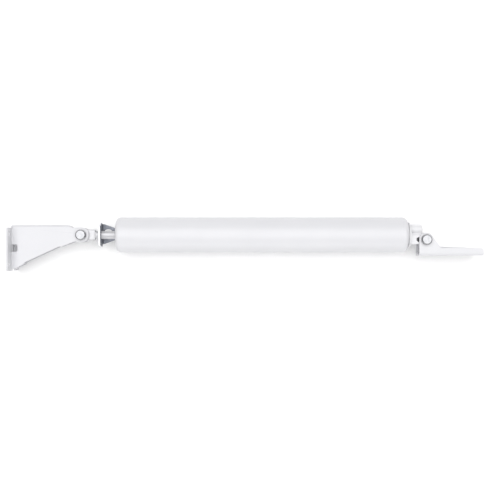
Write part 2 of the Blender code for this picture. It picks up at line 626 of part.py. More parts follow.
def make_end_plug(frame):
    """The plug: a turned body in the tube, the valve's boss, and the tongue that takes the door pin."""
    tail_face = TUBE_LENGTH - TUBE_WALL - FIT
    corner = TAIL_CORNER - TUBE_WALL - FIT
    ring_start = PLUG_FACE + PLUG_RING_FROM_FACE
    groove = INNER_RADIUS - PLUG_RING_DEPTH
    shoulder = TUBE_LENGTH + SHOULDER_GAP
    shoulder_end = shoulder + SHOULDER_THICKNESS
    profile = [(PLUG_FACE, 0), (PLUG_FACE, INNER_RADIUS), (ring_start, INNER_RADIUS), (ring_start, groove),
               (ring_start + PLUG_RING_WIDTH, groove), (ring_start + PLUG_RING_WIDTH, INNER_RADIUS)]
    profile += arc((tail_face - corner, INNER_RADIUS - corner), corner, 90, 0, 3)
    profile += [(tail_face, NECK_RADIUS), (shoulder, NECK_RADIUS), (shoulder, SHOULDER_RADIUS),
                (shoulder_end - SHOULDER_CHAMFER, SHOULDER_RADIUS),
                (shoulder_end, SHOULDER_RADIUS - SHOULDER_CHAMFER), (shoulder_end, 0)]
    plug = place("end_plug", turned(profile, ROUND_SEGMENTS), PLASTIC_WHITE, frame)

    root = TUBE_LENGTH - TUBE_WALL
    boss_end = TUBE_LENGTH + VALVE_BOSS_REACH
    boss_radius = VALVE_BOSS_DIAMETER / 2
    boss = [(root, 0), (root, boss_radius)]
    boss += arc((boss_end - VALVE_BOSS_CORNER, boss_radius - VALVE_BOSS_CORNER), VALVE_BOSS_CORNER, 90, 0, 4)
    boss += [(boss_end, 0)]
    tool = place("valve_boss_tool", turned(boss, SMALL_SEGMENTS), None, frame, (0, VALVE_OFFSET, 0))
    cut(plug, tool, "UNION")

    rib_top = VALVE_OFFSET + boss_radius
    rib_end = TUBE_LENGTH + VALVE_RIB_REACH
    rib = [(root, -PIN_DROP), (rib_end, -PIN_DROP)]
    rib += arc((rib_end - VALVE_BOSS_CORNER, rib_top - VALVE_BOSS_CORNER), VALVE_BOSS_CORNER, 0, 90)
    rib += [(root, rib_top)]
    half_rib = VALVE_RIB_THICKNESS / 2
    tool = place("valve_rib_tool", prism(rib, -half_rib, half_rib), None, frame)
    cut(plug, tool, "UNION")

    pin = (TUBE_LENGTH + PIN_REACH, -PIN_DROP)
    tongue = [(root, pin[1] - TONGUE_HEIGHT / 2)]
    tongue += arc(pin, TONGUE_HEIGHT / 2, -90, 90, 10)
    tongue += [(root, pin[1] + TONGUE_HEIGHT / 2)]
    half = TONGUE_THICKNESS / 2
    tool = place("tongue_tool", prism(tongue, -half, half), None, frame)
    cut(plug, tool, "UNION")

    drill(plug, "door_pin_hole_tool", (*pin, 0), "Z", PIN_BORE, 4 * half)
    pocket_top = half - POCKET_DEPTH / 2 + FIT
    drill(plug, "pocket_tool", (pin[0] - POCKET_FROM_PIN, pin[1], pocket_top + FIT), "Z",
          POCKET_DIAMETER / 2, POCKET_DEPTH + 4 * FIT, 16)
    seat = SCREW_END - SCREW_LENGTH - FIT
    bore = [(PLUG_FACE - FIT, 0), (PLUG_FACE - FIT, NEEDLE_RADIUS + FIT), (seat, NEEDLE_RADIUS + FIT),
            (seat, VALVE_BORE), (boss_end + FIT, VALVE_BORE), (boss_end + FIT, 0)]
    tool = place("valve_bore_tool", turned(bore, SMALL_SEGMENTS), None, frame, (0, VALVE_OFFSET, 0))
    cut(plug, tool)
    return plug


def make_plug_ring(frame):
    """The end plug's O-ring."""
    middle = PLUG_FACE + PLUG_RING_FROM_FACE + PLUG_RING_WIDTH / 2
    section = ring_section(0, INNER_RADIUS - PLUG_RING_DEPTH + FIT, BORE_RADIUS - FIT)
    return place("end_plug_o_ring", turned(section, ROUND_SEGMENTS), RUBBER_BLACK, frame, (middle, 0, 0))


def make_adjusting_screw(frame):
    """The valve screw on its own axis: a slotted head, a ring groove and a needle."""
    end = SCREW_END
    start = end - SCREW_LENGTH
    ring_middle = start + SCREW_LENGTH / 2
    half_groove = SCREW_RING_SECTION / 2 + FIT
    groove = VALVE_BORE - FIT - SCREW_RING_SECTION - FIT
    profile = [(start - NEEDLE_LENGTH, 0), (start - NEEDLE_LENGTH, NEEDLE_RADIUS * 0.5),
               (start - NEEDLE_LENGTH * 0.5, NEEDLE_RADIUS), (start, NEEDLE_RADIUS), (start, SCREW_RADIUS),
               (ring_middle - half_groove, SCREW_RADIUS), (ring_middle - half_groove, groove),
               (ring_middle + half_groove, groove), (ring_middle + half_groove, SCREW_RADIUS),
               (end, SCREW_RADIUS), (end, 0)]
    screw = place("adjusting_screw", turned(profile, SMALL_SEGMENTS), BRASS, frame)
    half = SCREW_SLOT / 2
    outline = [(end - SCREW_SLOT_DEPTH, -SCREW_RADIUS - FIT), (end + FIT, -SCREW_RADIUS - FIT),
               (end + FIT, SCREW_RADIUS + FIT), (end - SCREW_SLOT_DEPTH, SCREW_RADIUS + FIT)]
    tool = place("screw_slot_tool", prism(outline, -half, half), None, frame)
    cut(screw, tool)
    section = ring_section(ring_middle, groove + FIT, VALVE_BORE - FIT)
    place("adjusting_screw_o_ring", turned(section, SMALL_SEGMENTS), RUBBER_BLACK, frame)
    return screw


def make_door_bracket(frame):
    """A channel with two ears for the pin and low lips along its base, in the door pin's frame."""
    side = DOOR_HALF_WIDTH - SHEET / 2
    base = DOOR_PLANE + PIN_DROP + SHEET / 2
    bend = BEND_RADIUS + SHEET / 2
    back = -DOOR_HEEL - SHEET
    front = DOOR_REACH + SHEET
    top = DOOR_HEEL + SHEET
    faces = [
        [(back, base, 0), (front, base, 0), (front, base, side - bend), (back, base, side - bend)],
        [(back, base + bend, side), (front, base + bend, side), (front, top, side), (back, top, side)],
    ]
    faces += bend_strip((base + bend, side - bend), bend, 180, 90, back, front, lambda y, z, x: (x, y, z))
    bracket = sheet_metal("door_bracket", faces, SHEET, STEEL_WHITE, frame, mirrored=True)

    outside = DOOR_HALF_WIDTH + SHEET
    below = DOOR_PLANE + PIN_DROP - SHEET
    lip = DOOR_PLANE + PIN_DROP + DOOR_LIP_HEIGHT
    corner = (DOOR_REACH - DOOR_END_CORNER, lip - DOOR_END_CORNER)
    foot_x = DOOR_SLOPE_FOOT[0] + DOOR_FOOT_RUN / 2
    far_end = foot_x + FAR_LIP_RUN
    outline = [(-DOOR_HEEL, below), (DOOR_REACH, below)]
    outline += arc(corner, DOOR_END_CORNER, 0, 90)
    outline += [(far_end, lip), (foot_x, lip + FAR_LIP_RISE), DOOR_SLOPE_FOOT]
    slope_angle = math.degrees(math.atan2(DOOR_SLOPE_TOP[1], DOOR_SLOPE_TOP[0]))
    outline += arc((0, 0), DOOR_HEEL, slope_angle, 180, 10)
    blank = place("door_bracket_outline", prism(outline, -outside, outside), None, frame)
    cut(bracket, blank, "INTERSECT")

    above = DOOR_SLOPE_FOOT[1] + SHEET
    near_end = far_end - SHEET
    sliver = [(DOOR_SLOPE_FOOT[0] + DOOR_FOOT_RUN, lip), (near_end, lip), (near_end, above),
              (DOOR_SLOPE_FOOT[0] + FIT, above)]
    tool = place("near_lip_tool", prism(sliver, 0, outside), None, frame)
    cut(bracket, tool)
    drill(bracket, "door_bracket_pin_hole_tool", (0, 0, 0), "Z", PIN_BORE, 4 * DOOR_HALF_WIDTH)
    for index, reach in enumerate(DOOR_HOLES):
        drill(bracket, f"door_screw_hole_tool_{index}", (reach, base, 0), "Y", SCREW_HOLE_DIAMETER / 2,
              4 * SHEET)
    return bracket


def main():
    """Build the closer from the jamb to the door, each piece under the axis that it moves about."""
    clear_scene()
    jamb = empty("jamb_face", (0, 0, 0))
    jamb_pivot = empty("jamb_pivot_axis", (JAMB_PIN_X, 0, 0), jamb)
    washer_seat = empty("hold_open_washer_seat", (WASHER_FROM_PIN, 0, 0), jamb_pivot)
    washer_seat.rotation_euler = (math.radians(WASHER_TURN), 0, 0)
    nose = empty("tube_nose", (NOSE_GAP, 0, 0), jamb_pivot)
    door_pivot = empty("door_pivot_axis", (TUBE_LENGTH + PIN_REACH, -PIN_DROP, 0), nose)
    valve = empty("valve_axis", (0, VALVE_OFFSET, 0), nose)

    make_jamb_bracket(jamb)
    make_pin("jamb_pin", JAMB_HALF_WIDTH, jamb_pivot, STEEL_BRIGHT)
    make_clip("jamb_pin_clip", JAMB_HALF_WIDTH, jamb_pivot)

    make_rod(jamb_pivot)
    make_piston(nose)
    make_cup_seal(nose)
    make_washer("cup_retainer", RETAINER_START, RETAINER_THICKNESS, STUD_BORE,
                INNER_RADIUS - RETAINER_INSET, STEEL_ZINC, nose)
    make_nut(nose)
    make_hold_open_washer(washer_seat)

    make_spring(nose)
    make_washer("rear_spring_seat", REAR_SEAT_START, SEAT_THICKNESS, ROD_BORE,
                SPRING_OUTSIDE + FIT, STEEL_ZINC, nose)
    make_washer("front_spring_seat", FRONT_SEAT_START, SEAT_THICKNESS, ROD_BORE,
                INNER_RADIUS, STEEL_ZINC, nose)

    make_tube(nose)
    make_rod_guide(nose)
    make_end_plug(nose)
    make_plug_ring(nose)
    make_adjusting_screw(valve)

    make_door_bracket(door_pivot)
    make_pin("door_pin", DOOR_HALF_WIDTH, door_pivot, STEEL_BRIGHT)
    make_clip("door_pin_clip", DOOR_HALF_WIDTH, door_pivot)
    bpy.context.view_layer.update()


main()
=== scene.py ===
"""The looks of a pneumatic door closer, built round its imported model.

Each sub-assembly is a class that builds finely rounded meshes in place of the plain ones and dresses
them. The jamb's face is the plane x = 0, the tube's axis is the X axis, and both pins stand along Z.
"""

import logging
import math
from collections.abc import Callable, Sequence
from dataclasses import dataclass
from enum import Enum
from typing import Any, ClassVar

import bmesh
import bpy
from mathutils import Matrix, Vector


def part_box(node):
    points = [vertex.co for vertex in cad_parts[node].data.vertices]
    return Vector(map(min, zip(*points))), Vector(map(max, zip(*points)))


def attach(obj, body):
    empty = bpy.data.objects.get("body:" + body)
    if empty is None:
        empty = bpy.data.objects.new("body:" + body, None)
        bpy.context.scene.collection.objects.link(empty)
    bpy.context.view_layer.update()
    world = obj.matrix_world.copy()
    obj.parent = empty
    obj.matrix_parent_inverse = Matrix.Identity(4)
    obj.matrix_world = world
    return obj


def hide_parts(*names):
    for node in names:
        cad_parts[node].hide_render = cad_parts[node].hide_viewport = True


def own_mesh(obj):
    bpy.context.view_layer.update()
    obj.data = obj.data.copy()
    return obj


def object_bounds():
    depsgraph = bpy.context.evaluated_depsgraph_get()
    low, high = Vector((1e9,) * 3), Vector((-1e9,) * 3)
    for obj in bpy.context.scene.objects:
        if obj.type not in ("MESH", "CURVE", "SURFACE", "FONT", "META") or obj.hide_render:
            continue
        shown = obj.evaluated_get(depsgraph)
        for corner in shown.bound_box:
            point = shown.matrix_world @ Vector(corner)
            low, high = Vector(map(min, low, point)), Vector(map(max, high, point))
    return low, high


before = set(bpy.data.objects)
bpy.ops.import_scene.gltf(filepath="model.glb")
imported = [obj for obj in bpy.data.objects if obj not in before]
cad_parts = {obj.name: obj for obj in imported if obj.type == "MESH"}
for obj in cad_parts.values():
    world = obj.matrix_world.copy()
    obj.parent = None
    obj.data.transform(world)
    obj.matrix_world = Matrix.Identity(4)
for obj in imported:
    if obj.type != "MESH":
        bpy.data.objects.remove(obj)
CAD_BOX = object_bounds()

MM = 0.001
FIT = 0.3 * MM                  # the gap between pieces that touch or turn in each other
IN_PLANE = Vector((1, 1, 0))    # drops a place onto the middle plane, z = 0
MERGE = FIT / 100               # points nearer than this are one point
SHARP_ANGLE = math.radians(32)  # faces that meet at more than this keep a hard edge
FLAT_ANGLE = math.radians(0.5)  # faces that meet at less than this become one
LOG = logging.getLogger("door_closer")

Point = tuple[float, float]
Corner = tuple[float, float, float]


class Body(Enum):
    """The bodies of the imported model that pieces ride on."""

    JAMB = "jamb_bracket"
    ROD = "rod"
    WASHER = "hold_open_washer"
    SPRING = "spring"
    TUBE = "tube"
    SCREW = "adjusting_screw"
    DOOR = "door_bracket"


class Slot(Enum):
    """The record's material slots."""

    ENAMEL = "white_enamel"
    BRIGHT = "bright_steel"
    ZINC = "zinc_plate"
    SPRING = "spring_steel"
    ACETAL = "white_acetal"
    NYLON = "black_nylon"
    RUBBER = "black_rubber"
    BRASS = "brass"


class Cut(Enum):
    """What a Boolean does with its tool."""

    AWAY = "DIFFERENCE"
    KEEP_INSIDE = "INTERSECT"
    JOIN = "UNION"


class Axis(Enum):
    """The turns that bring a solid made along X onto another axis."""

    X = Matrix.Identity(4)
    Y = Matrix.Rotation(math.pi / 2, 4, "Z")
    Z = Matrix.Rotation(-math.pi / 2, 4, "Y")


# Colours and nodes


def linear(code: str) -> tuple[float, float, float, float]:
    """Turn an sRGB hex colour into a linear one.

    Args:
        code: Six hex digits, such as "c8c8cc".

    Returns:
        Linear red, green, blue and an alpha of 1.
    """
    channels = []
    for start in (0, 2, 4):
        value = int(code[start:start + 2], 16) / 255
        channels.append(value / 12.92 if value <= 0.04045 else ((value + 0.055) / 1.055) ** 2.4)
    return (*channels, 1.0)


def add_node(tree: bpy.types.NodeTree, kind: str, settings: dict[str, Any] | None = None,
             inputs: dict[str | int, Any] | None = None) -> bpy.types.Node:
    """Add a node, set it and link what feeds it.

    Args:
        tree: The node tree that takes the node.
        kind: Blender's type name for it.
        settings: The node's own properties.
        inputs: A value or another node's output socket for each input, by name or number.

    Returns:
        The new node.
    """
    made = tree.nodes.new(kind)
    for name, value in (settings or {}).items():
        setattr(made, name, value)
    for name, value in (inputs or {}).items():
        if isinstance(value, bpy.types.NodeSocket):
            tree.links.new(value, made.inputs[name])
        else:
            made.inputs[name].default_value = value
    return made


def spread(tree: bpy.types.NodeTree, value: bpy.types.NodeSocket, low: float, high: float,
           from_low: float = 0.3, from_high: float = 0.7) -> bpy.types.NodeSocket:
    """Map the middle of a noise onto a range.

    Args:
        tree: The material's nodes.
        value: What is mapped.
        low: The result at from_low and below.
        high: The result at from_high and above.
        from_low: The lower end of the value's own range.
        from_high: The upper end of the value's own range.

    Returns:
        The mapped value.
    """
    mapped = add_node(tree, "ShaderNodeMapRange", None,
                      {"Value": value, "From Min": from_low, "From Max": from_high,
                       "To Min": low, "To Max": high})
    return mapped.outputs["Result"]


def blend_colours(tree: bpy.types.NodeTree, share: bpy.types.NodeSocket, first: Any,
                  second: Any) -> bpy.types.NodeSocket:
    """Mix two colours.

    Args:
        tree: The material's nodes.
        share: How much of the second colour shows, from 0 to 1.
        first: A linear colour or a socket.
        second: A linear colour or a socket.

    Returns:
        The mixed colour.
    """
    mixed = add_node(tree, "ShaderNodeMix", {"data_type": "RGBA"}, {0: share, 6: first, 7: second})
    return mixed.outputs[2]


# Finishes


@dataclass(frozen=True)
class Pattern:
    """A noise whose blotches have a real length along X, Y and Z."""

    sizes: Corner
    detail: float = 2.0
    offset: float = 0.0         # moves the pattern, so that two don't match

    def noise(self, tree: bpy.types.NodeTree) -> bpy.types.NodeSocket:
        """Add the noise.

        Args:
            tree: The material's nodes.

        Returns:
            The noise's value, from about 0 to 1.
        """
        place = add_node(tree, "ShaderNodeTexCoord")
        scale = tuple(1 / size for size in self.sizes)
        stretched = add_node(tree, "ShaderNodeMapping", None,
                             {"Vector": place.outputs["Object"], "Scale": scale,
                              "Location": (self.offset,) * 3})
        noise = add_node(tree, "ShaderNodeTexNoise", None,
                         {"Vector": stretched.outputs["Vector"], "Scale": 1.0, "Detail": self.detail})
        return noise.outputs["Fac"]


@dataclass(frozen=True)
class Finish:
    """A surface finish: what the material is and how its surface was made."""

    name: str
    slot: Slot
    colour: str
    shade: str
    roughness: float

    metallic: ClassVar[float] = 1.0
    clouds: ClassVar[Pattern]           # where the shade shows
    most_shade: ClassVar[float] = 1.0
    gloss: ClassVar[Pattern]            # where the surface is rougher and smoother
    swing: ClassVar[float]              # and by how much, either side of its roughness
    relief: ClassVar[Pattern]
    depth: ClassVar[float]              # how deep the relief is, in metres
    strength: ClassVar[float] = 0.5

    def material(self) -> bpy.types.Material:
        """Make the finish's material the first time that it is asked for.

        Returns:
            The material.
        """
        found = bpy.data.materials.get(self.name)
        if found:
            return found
        made = bpy.data.materials.new(self.name)
        made.use_nodes = True
        made.diffuse_color = linear(self.colour)
        tree = made.node_tree
        shader = tree.nodes["Principled BSDF"]
        shader.inputs["Metallic"].default_value = self.metallic
        colour = blend_colours(tree, self.share(tree), linear(self.colour), linear(self.shade))
        rough = spread(tree, self.gloss.noise(tree), self.roughness - self.swing, self.roughness + self.swing)
        bump = add_node(tree, "ShaderNodeBump", None,
                        {"Height": self.relief.noise(tree), "Distance": self.depth,
                         "Strength": self.strength})
        feeds = {"Base Color": colour, "Roughness": rough, "Normal": bump.outputs["Normal"]}
        for name, socket in feeds.items():
            tree.links.new(socket, shader.inputs[name])
        return made

    def share(self, tree: bpy.types.NodeTree) -> bpy.types.NodeSocket:
        """Return how much of the shade shows at each place."""
        return spread(tree, self.clouds.noise(tree), 0.0, self.most_shade)


class BakedEnamel(Finish):
    """White baked enamel on sheet steel.

    It is sprayed and stoved: a soft satin skin with a fine orange peel, a little greyer in clouds where
    the coat is thinner, and thinnest on outward edges.
    """

    metallic = 0.0
    clouds = Pattern((26 * MM,) * 3, 3.0)
    most_shade = 0.30
    gloss = Pattern((6.5 * MM,) * 3, 2.0, 5.0)
    swing = 0.05
    # Real orange peel is about 0.6 mm across, drawn coarser so that it shows.
    relief = Pattern((1.1 * MM,) * 3, 1.0, 9.0)
    depth = 0.02 * MM
    edge_shade = 0.55
    edge_range = (0.52, 0.60)   # the pointiness of a nearly flat face and of an outward edge

    def share(self, tree: bpy.types.NodeTree) -> bpy.types.NodeSocket:
        """Show the shade in the clouds and on the thin edges.

        Args:
            tree: The material's nodes.

        Returns:
            The greater of the two shares.
        """
        edges = add_node(tree, "ShaderNodeNewGeometry").outputs["Pointiness"]
        thin = spread(tree, edges, 0.0, self.edge_shade, *self.edge_range)
        both = {0: thin, 1: super().share(tree)}
        return add_node(tree, "ShaderNodeMath", {"operation": "MAXIMUM"}, both).outputs["Value"]


class MouldedPlastic(Finish):
    """An injection-moulded plastic part.

    Its skin is even, with a faint texture from the spark-eroded mould and a slow change of gloss.
    """

    metallic = 0.0
    clouds = gloss = Pattern((9 * MM, 5 * MM, 5 * MM))
    most_shade = 0.5
    swing = 0.04
    # Real mould grain is about 0.1 mm, drawn coarser so that it shows.
    relief = Pattern((0.6 * MM,) * 3, 2.0, 3.0)
    depth = 0.015 * MM


class GroundSteel(Finish):
    """Centreless-ground bright steel bar.

    The wheel leaves fine rings round the bar, which stretch its highlights along it.
    """

    clouds = Pattern((14 * MM, 4 * MM, 4 * MM), 3.0)
    most_shade = 0.7
    # Real grinding marks are about 0.05 mm apart, drawn coarser so that they show.
    gloss = relief = Pattern((0.35 * MM, 12 * MM, 12 * MM), 3.0, 7.0)
    swing = 0.04
    depth = 0.006 * MM


class ZincPlate(Finish):
    """Bright zinc plate on stamped steel, passivated to a faint blue.

    It is barrel-plated: bluish grey, with clouds of different gloss and short random rubs.
    """

    clouds = Pattern((3.2 * MM,) * 3, 4.0)
    gloss = relief = Pattern((2.5 * MM, 0.5 * MM, 1.0 * MM), 3.0, 4.0)
    swing = 0.09
    depth = 0.012 * MM


class BrightNickel(Finish):
    """Bright nickel plate on a cold-headed pin.

    It is levelled almost to a mirror, so it shows its surroundings as bright and dark bands, a little
    softened by the cold-heading's own waviness.
    """

    clouds = gloss = Pattern((3.2 * MM,) * 3, 3.0)
    swing = 0.05
    relief = Pattern((1.6 * MM,) * 3, 1.0, 3.0)
    depth = 0.02 * MM


class TemperedWire(Finish):
    """Oil-tempered spring steel.

    It is dark, with brown and blue clouds of temper colour and fine drawing lines.
    """

    clouds = Pattern((6 * MM,) * 3, 3.0)
    gloss = relief = Pattern((0.4 * MM, 2 * MM, 2 * MM), 2.0, 2.0)
    swing = 0.08
    depth = 0.01 * MM


class TurnedBrass(Finish):
    """Free-cutting brass from an automatic lathe, browned a little, with the tool's feed lines round it."""

    clouds = Pattern((3 * MM,) * 3, 3.0)
    most_shade = 0.8
    # Real feed lines are about 0.08 mm apart, drawn coarser so that they show.
    gloss = relief = Pattern((0.4 * MM, 9 * MM, 9 * MM), 1.0, 6.0)
    swing = 0.06
    depth = 0.012 * MM
    strength = 0.6


class MouldedRubber(Finish):
    """Compression-moulded nitrile rubber: nearly black, dull, with a grey bloom."""

    metallic = 0.0
    clouds = gloss = Pattern((2.5 * MM,) * 3, 4.0)
    swing = 0.08
    relief = Pattern((0.4 * MM,) * 3, 2.0, 8.0)
    depth = 0.02 * MM


ENAMEL = BakedEnamel("white_baked_enamel_on_steel", Slot.ENAMEL, "d3d3d6", "cbcbcf", 0.38)
ACETAL = MouldedPlastic("white_moulded_acetal", Slot.ACETAL, "d8d8da", "d0d0d3", 0.42)
NYLON = MouldedPlastic("black_moulded_nylon", Slot.NYLON, "2b2b2d", "232325", 0.48)
ROD_STEEL = GroundSteel("bright_ground_steel", Slot.BRIGHT, "d3d3d5", "cccccf", 0.62)
PIN_NICKEL = BrightNickel("bright_nickel_plate_on_steel", Slot.BRIGHT, "9d9d9f", "939497", 0.22)
ZINC = ZincPlate("blue_passivated_zinc_plate", Slot.ZINC, "93969d", "777a83", 0.46)
# A far lighter zinc for the washer's sheared edges: a painted highlight, not a real finish.
ZINC_EDGE_HIGHLIGHT = ZincPlate("zinc_edge_painted_highlight", Slot.ZINC, "ececee", "e0e1e4", 0.42)
TEMPERED = TemperedWire("oil_tempered_spring_steel", Slot.SPRING, "6d6a68", "55575f", 0.38)
BRASS = TurnedBrass("turned_brass", Slot.BRASS, "d2b066", "b8934c", 0.30)
RUBBER = MouldedRubber("moulded_nitrile_rubber", Slot.RUBBER, "1c1c1d", "29292a", 0.62)


# Outlines and solids


def arc(centre: Point, radius: float, start: float, end: float, steps: int) -> list[Point]:
    """Place points on an arc, both ends included.

    Args:
        centre: The arc's centre.
        radius: Its radius.
        start: The first point's angle in degrees.
        end: The last point's angle in degrees.
        steps: How many pieces the arc has.

    Returns:
        The points in order.
    """
    points = []
    for step in range(steps + 1):
        angle = math.radians(start + (end - start) * step / steps)
        points.append((centre[0] + radius * math.cos(angle), centre[1] + radius * math.sin(angle)))
    return points


def rounded(corners: Sequence[Corner], steps: int = 6) -> list[Point]:
    """Round each corner of a closed outline.

    Args:
        corners: The corners in order, each with its own radius, or 0 to stay sharp.
        steps: How many pieces each round has.

    Returns:
        The outline's points.
    """
    outline: list[Point] = []
    for index, (x, y, radius) in enumerate(corners):
        if radius <= 0:
            outline.append((x, y))
            continue
        here = Vector((x, y))
        back = (Vector(corners[index - 1][:2]) - here).normalized()
        on = (Vector(corners[(index + 1) % len(corners)][:2]) - here).normalized()
        half = back.angle(on) / 2
        centre = here + (back + on).normalized() * radius / math.sin(half)
        start = here + back * radius / math.tan(half) - centre
        end = here + on * radius / math.tan(half) - centre
        sweep = start.angle(end)
        for step in range(steps + 1):
            share = step / steps
            spoke = start * math.sin((1 - share) * sweep) + end * math.sin(share * sweep)
            outline.append(tuple(centre + spoke / math.sin(sweep)))
    return outline


def join_rings(bm: bmesh.types.BMesh, ring: Sequence[bmesh.types.BMVert],
               following: Sequence[bmesh.types.BMVert]) -> None:
    """Make faces between two closed rings, either of which may be one point on the axis.

    Args:
        bm: The mesh being built.
        ring: The first ring.
        following: The next ring, with as many points unless one of them is a single point.
    """
    if len(ring) == 1 and len(following) == 1:
        return
    count = max(len(ring), len(following))
    for step in range(count):
        after = (step + 1) % count
        if len(ring) == 1:
            bm.faces.new((ring[0], following[step], following[after]))
        elif len(following) == 1:
            bm.faces.new((ring[step], following[0], ring[after]))
        else:
            bm.faces.new((ring[step], following[step], following[after], ring[after]))


def loft(bm: bmesh.types.BMesh, rings: Sequence[Sequence[bmesh.types.BMVert]]) -> None:
    """Skin a run of rings, close both of its ends and turn its faces outwards.

    Args:
        bm: The mesh being built.
        rings: The rings in order, all with as many points.
    """
    for ring, following in zip(rings, rings[1:]):
        join_rings(bm, ring, following)
    bm.faces.new(rings[0])
    bm.faces.new(rings[-1])
    bmesh.ops.recalc_face_normals(bm, faces=bm.faces)


def turned(profile: Sequence[Point], segments: int, start: Vector, axis: Axis = Axis.X) -> bmesh.types.BMesh:
    """Turn a closed profile about an axis.

    Args:
        profile: Points of (length along the axis, radius), in a closed loop.
        segments: How many flats go round.
        start: Where the profile's zero lies.
        axis: The axis that it is turned about.

    Returns:
        The solid.
    """
    bm = bmesh.new()
    rings = []
    for x, radius in profile:
        if radius < MERGE:
            rings.append([bm.verts.new((x, 0, 0))])
            continue
        turns = [2 * math.pi * (step + 0.5) / segments for step in range(segments)]
        rings.append([bm.verts.new((x, radius * math.cos(a), radius * math.sin(a))) for a in turns])
    for ring, following in zip(rings, rings[1:] + rings[:1]):
        join_rings(bm, ring, following)
    bmesh.ops.recalc_face_normals(bm, faces=bm.faces)
    bmesh.ops.transform(bm, matrix=Matrix.Translation(start) @ axis.value, verts=bm.verts)
    return bm


def prism(outline: Sequence[Point], low: float, high: float) -> bmesh.types.BMesh:
    """Carry an outline in the XY plane straight along Z.

    Args:
        outline: The outline's points.
        low: Where it starts along Z.
        high: Where it ends along Z.

    Returns:
        The solid.
    """
    bm = bmesh.new()
    base = bm.faces.new([bm.verts.new((x, y, low)) for x, y in outline])
    raised = bmesh.ops.extrude_face_region(bm, geom=[base])["geom"]
    top = [item for item in raised if isinstance(item, bmesh.types.BMVert)]
    bmesh.ops.translate(bm, verts=top, vec=(0, 0, high - low))
    bmesh.ops.recalc_face_normals(bm, faces=bm.faces)
    return bm


def bend(centre: Point, radius: float, start: float, end: float, span: Point,
         point: Callable[[float, float, float], tuple[float, float, float]],
         steps: int = 10) -> list[list[tuple[float, float, float]]]:
    """Draw a bend in a sheet's middle surface.

    Args:
        centre: The bend's centre, in the plane across it.
        radius: The middle surface's radius.
        start: The first angle in degrees.
        end: The last angle in degrees.
        span: Where the bend starts and ends along its own line.
        point: Puts the two values across the bend and the one along it in their places.
        steps: How many flats the bend has.

    Returns:
        The bend's faces.
    """
    points = arc(centre, radius, start, end, steps)
    strip = []
    for near, far in zip(points, points[1:]):
        strip.append([point(*near, span[0]), point(*far, span[0]),
                      point(*far, span[1]), point(*near, span[1])])
    return strip


def as_object(bm: bmesh.types.BMesh, name: str) -> bpy.types.Object:
    """Turn a bmesh into a linked object at the origin.

    Args:
        bm: The mesh, which is freed.
        name: The object's name.

    Returns:
        The object.
    """
    mesh = bpy.data.meshes.new(name)
    bm.to_mesh(mesh)
    bm.free()
    made = bpy.data.objects.new(name, mesh)
    bpy.context.scene.collection.objects.link(made)
    return made


def apply_modifiers(piece: bpy.types.Object) -> None:
    """Replace an object's mesh by what its modifiers make of it.

    Args:
        piece: The object, which loses its modifiers.
    """
    bpy.context.view_layer.update()
    graph = bpy.context.evaluated_depsgraph_get()
    mesh = bpy.data.meshes.new_from_object(piece.evaluated_get(graph), preserve_all_data_layers=True,
                                           depsgraph=graph)
    piece.modifiers.clear()
    piece.data = mesh


def carve(piece: bpy.types.Object, tool: bmesh.types.BMesh, cut: Cut = Cut.AWAY) -> None:
    """Cut, trim or join a piece with a tool, which is used up.

    Args:
        piece: The object that changes.
        tool: The solid to cut, trim or join it with.
        cut: Which of them.
    """
    holder = as_object(tool, "tool")
    boolean = piece.modifiers.new("cut", "BOOLEAN")
    boolean.operation = cut.value
    boolean.solver = "EXACT"
    boolean.object = holder
    apply_modifiers(piece)
    bpy.data.objects.remove(holder, do_unlink=True)


def drill(piece: bpy.types.Object, centre: Vector, axis: Axis, radius: float, length: float,
          chamfer: float = 0.0, segments: int = 48) -> None:
    """Cut a round hole right through, with both of its mouths broken if asked.

    Args:
        piece: The object that is drilled.
        centre: The middle of the hole's length.
        axis: The hole's direction.
        radius: Its radius.
        length: How thick the material is there.
        chamfer: The width of the broken edge at each mouth.
        segments: How many flats the hole has.
    """
    half = length / 2
    mouth = radius + chamfer + FIT
    profile = [(-half - FIT, 0), (-half - FIT, mouth), (-half + chamfer, radius), (half - chamfer, radius),
               (half + FIT, mouth), (half + FIT, 0)]
    carve(piece, turned(profile, segments, centre, axis))


def thicken(faces: Sequence[Sequence[tuple[float, float, float]]], thickness: float, name: str,
            mirrored: bool) -> bpy.types.Object:
    """Make a bent sheet from its middle surface.

    Args:
        faces: The middle surface's faces.
        thickness: The sheet's thickness.
        name: The object's name.
        mirrored: Whether the other half, below z = 0, is a mirror image.

    Returns:
        The sheet.
    """
    bm = bmesh.new()
    for face in faces:
        bm.faces.new([bm.verts.new(point) for point in face])
    bmesh.ops.remove_doubles(bm, verts=bm.verts, dist=MERGE)
    bmesh.ops.recalc_face_normals(bm, faces=bm.faces)
    piece = as_object(bm, name)
    if mirrored:
        mirror = piece.modifiers.new("other_side", "MIRROR")
        mirror.use_axis = (False, False, True)
        mirror.merge_threshold = MERGE
    solid = piece.modifiers.new("thickness", "SOLIDIFY")
    solid.thickness = thickness
    solid.offset = 0
    solid.use_even_offset = True
    apply_modifiers(piece)
    return piece


def bevel(piece: bpy.types.Object, width: float, segments: int, miter: str = "MITER_SHARP") -> None:
    """Round a piece's hard edges.

    Args:
        piece: The object that changes.
        width: How wide the rounded edge is.
        segments: How many flats it has.
        miter: How three rounded edges meet at a corner.
    """
    modifier = piece.modifiers.new("edges", "BEVEL")
    modifier.width = width
    modifier.segments = segments
    modifier.limit_method = "ANGLE"
    modifier.angle_limit = SHARP_ANGLE
    modifier.miter_outer = miter
    apply_modifiers(piece)


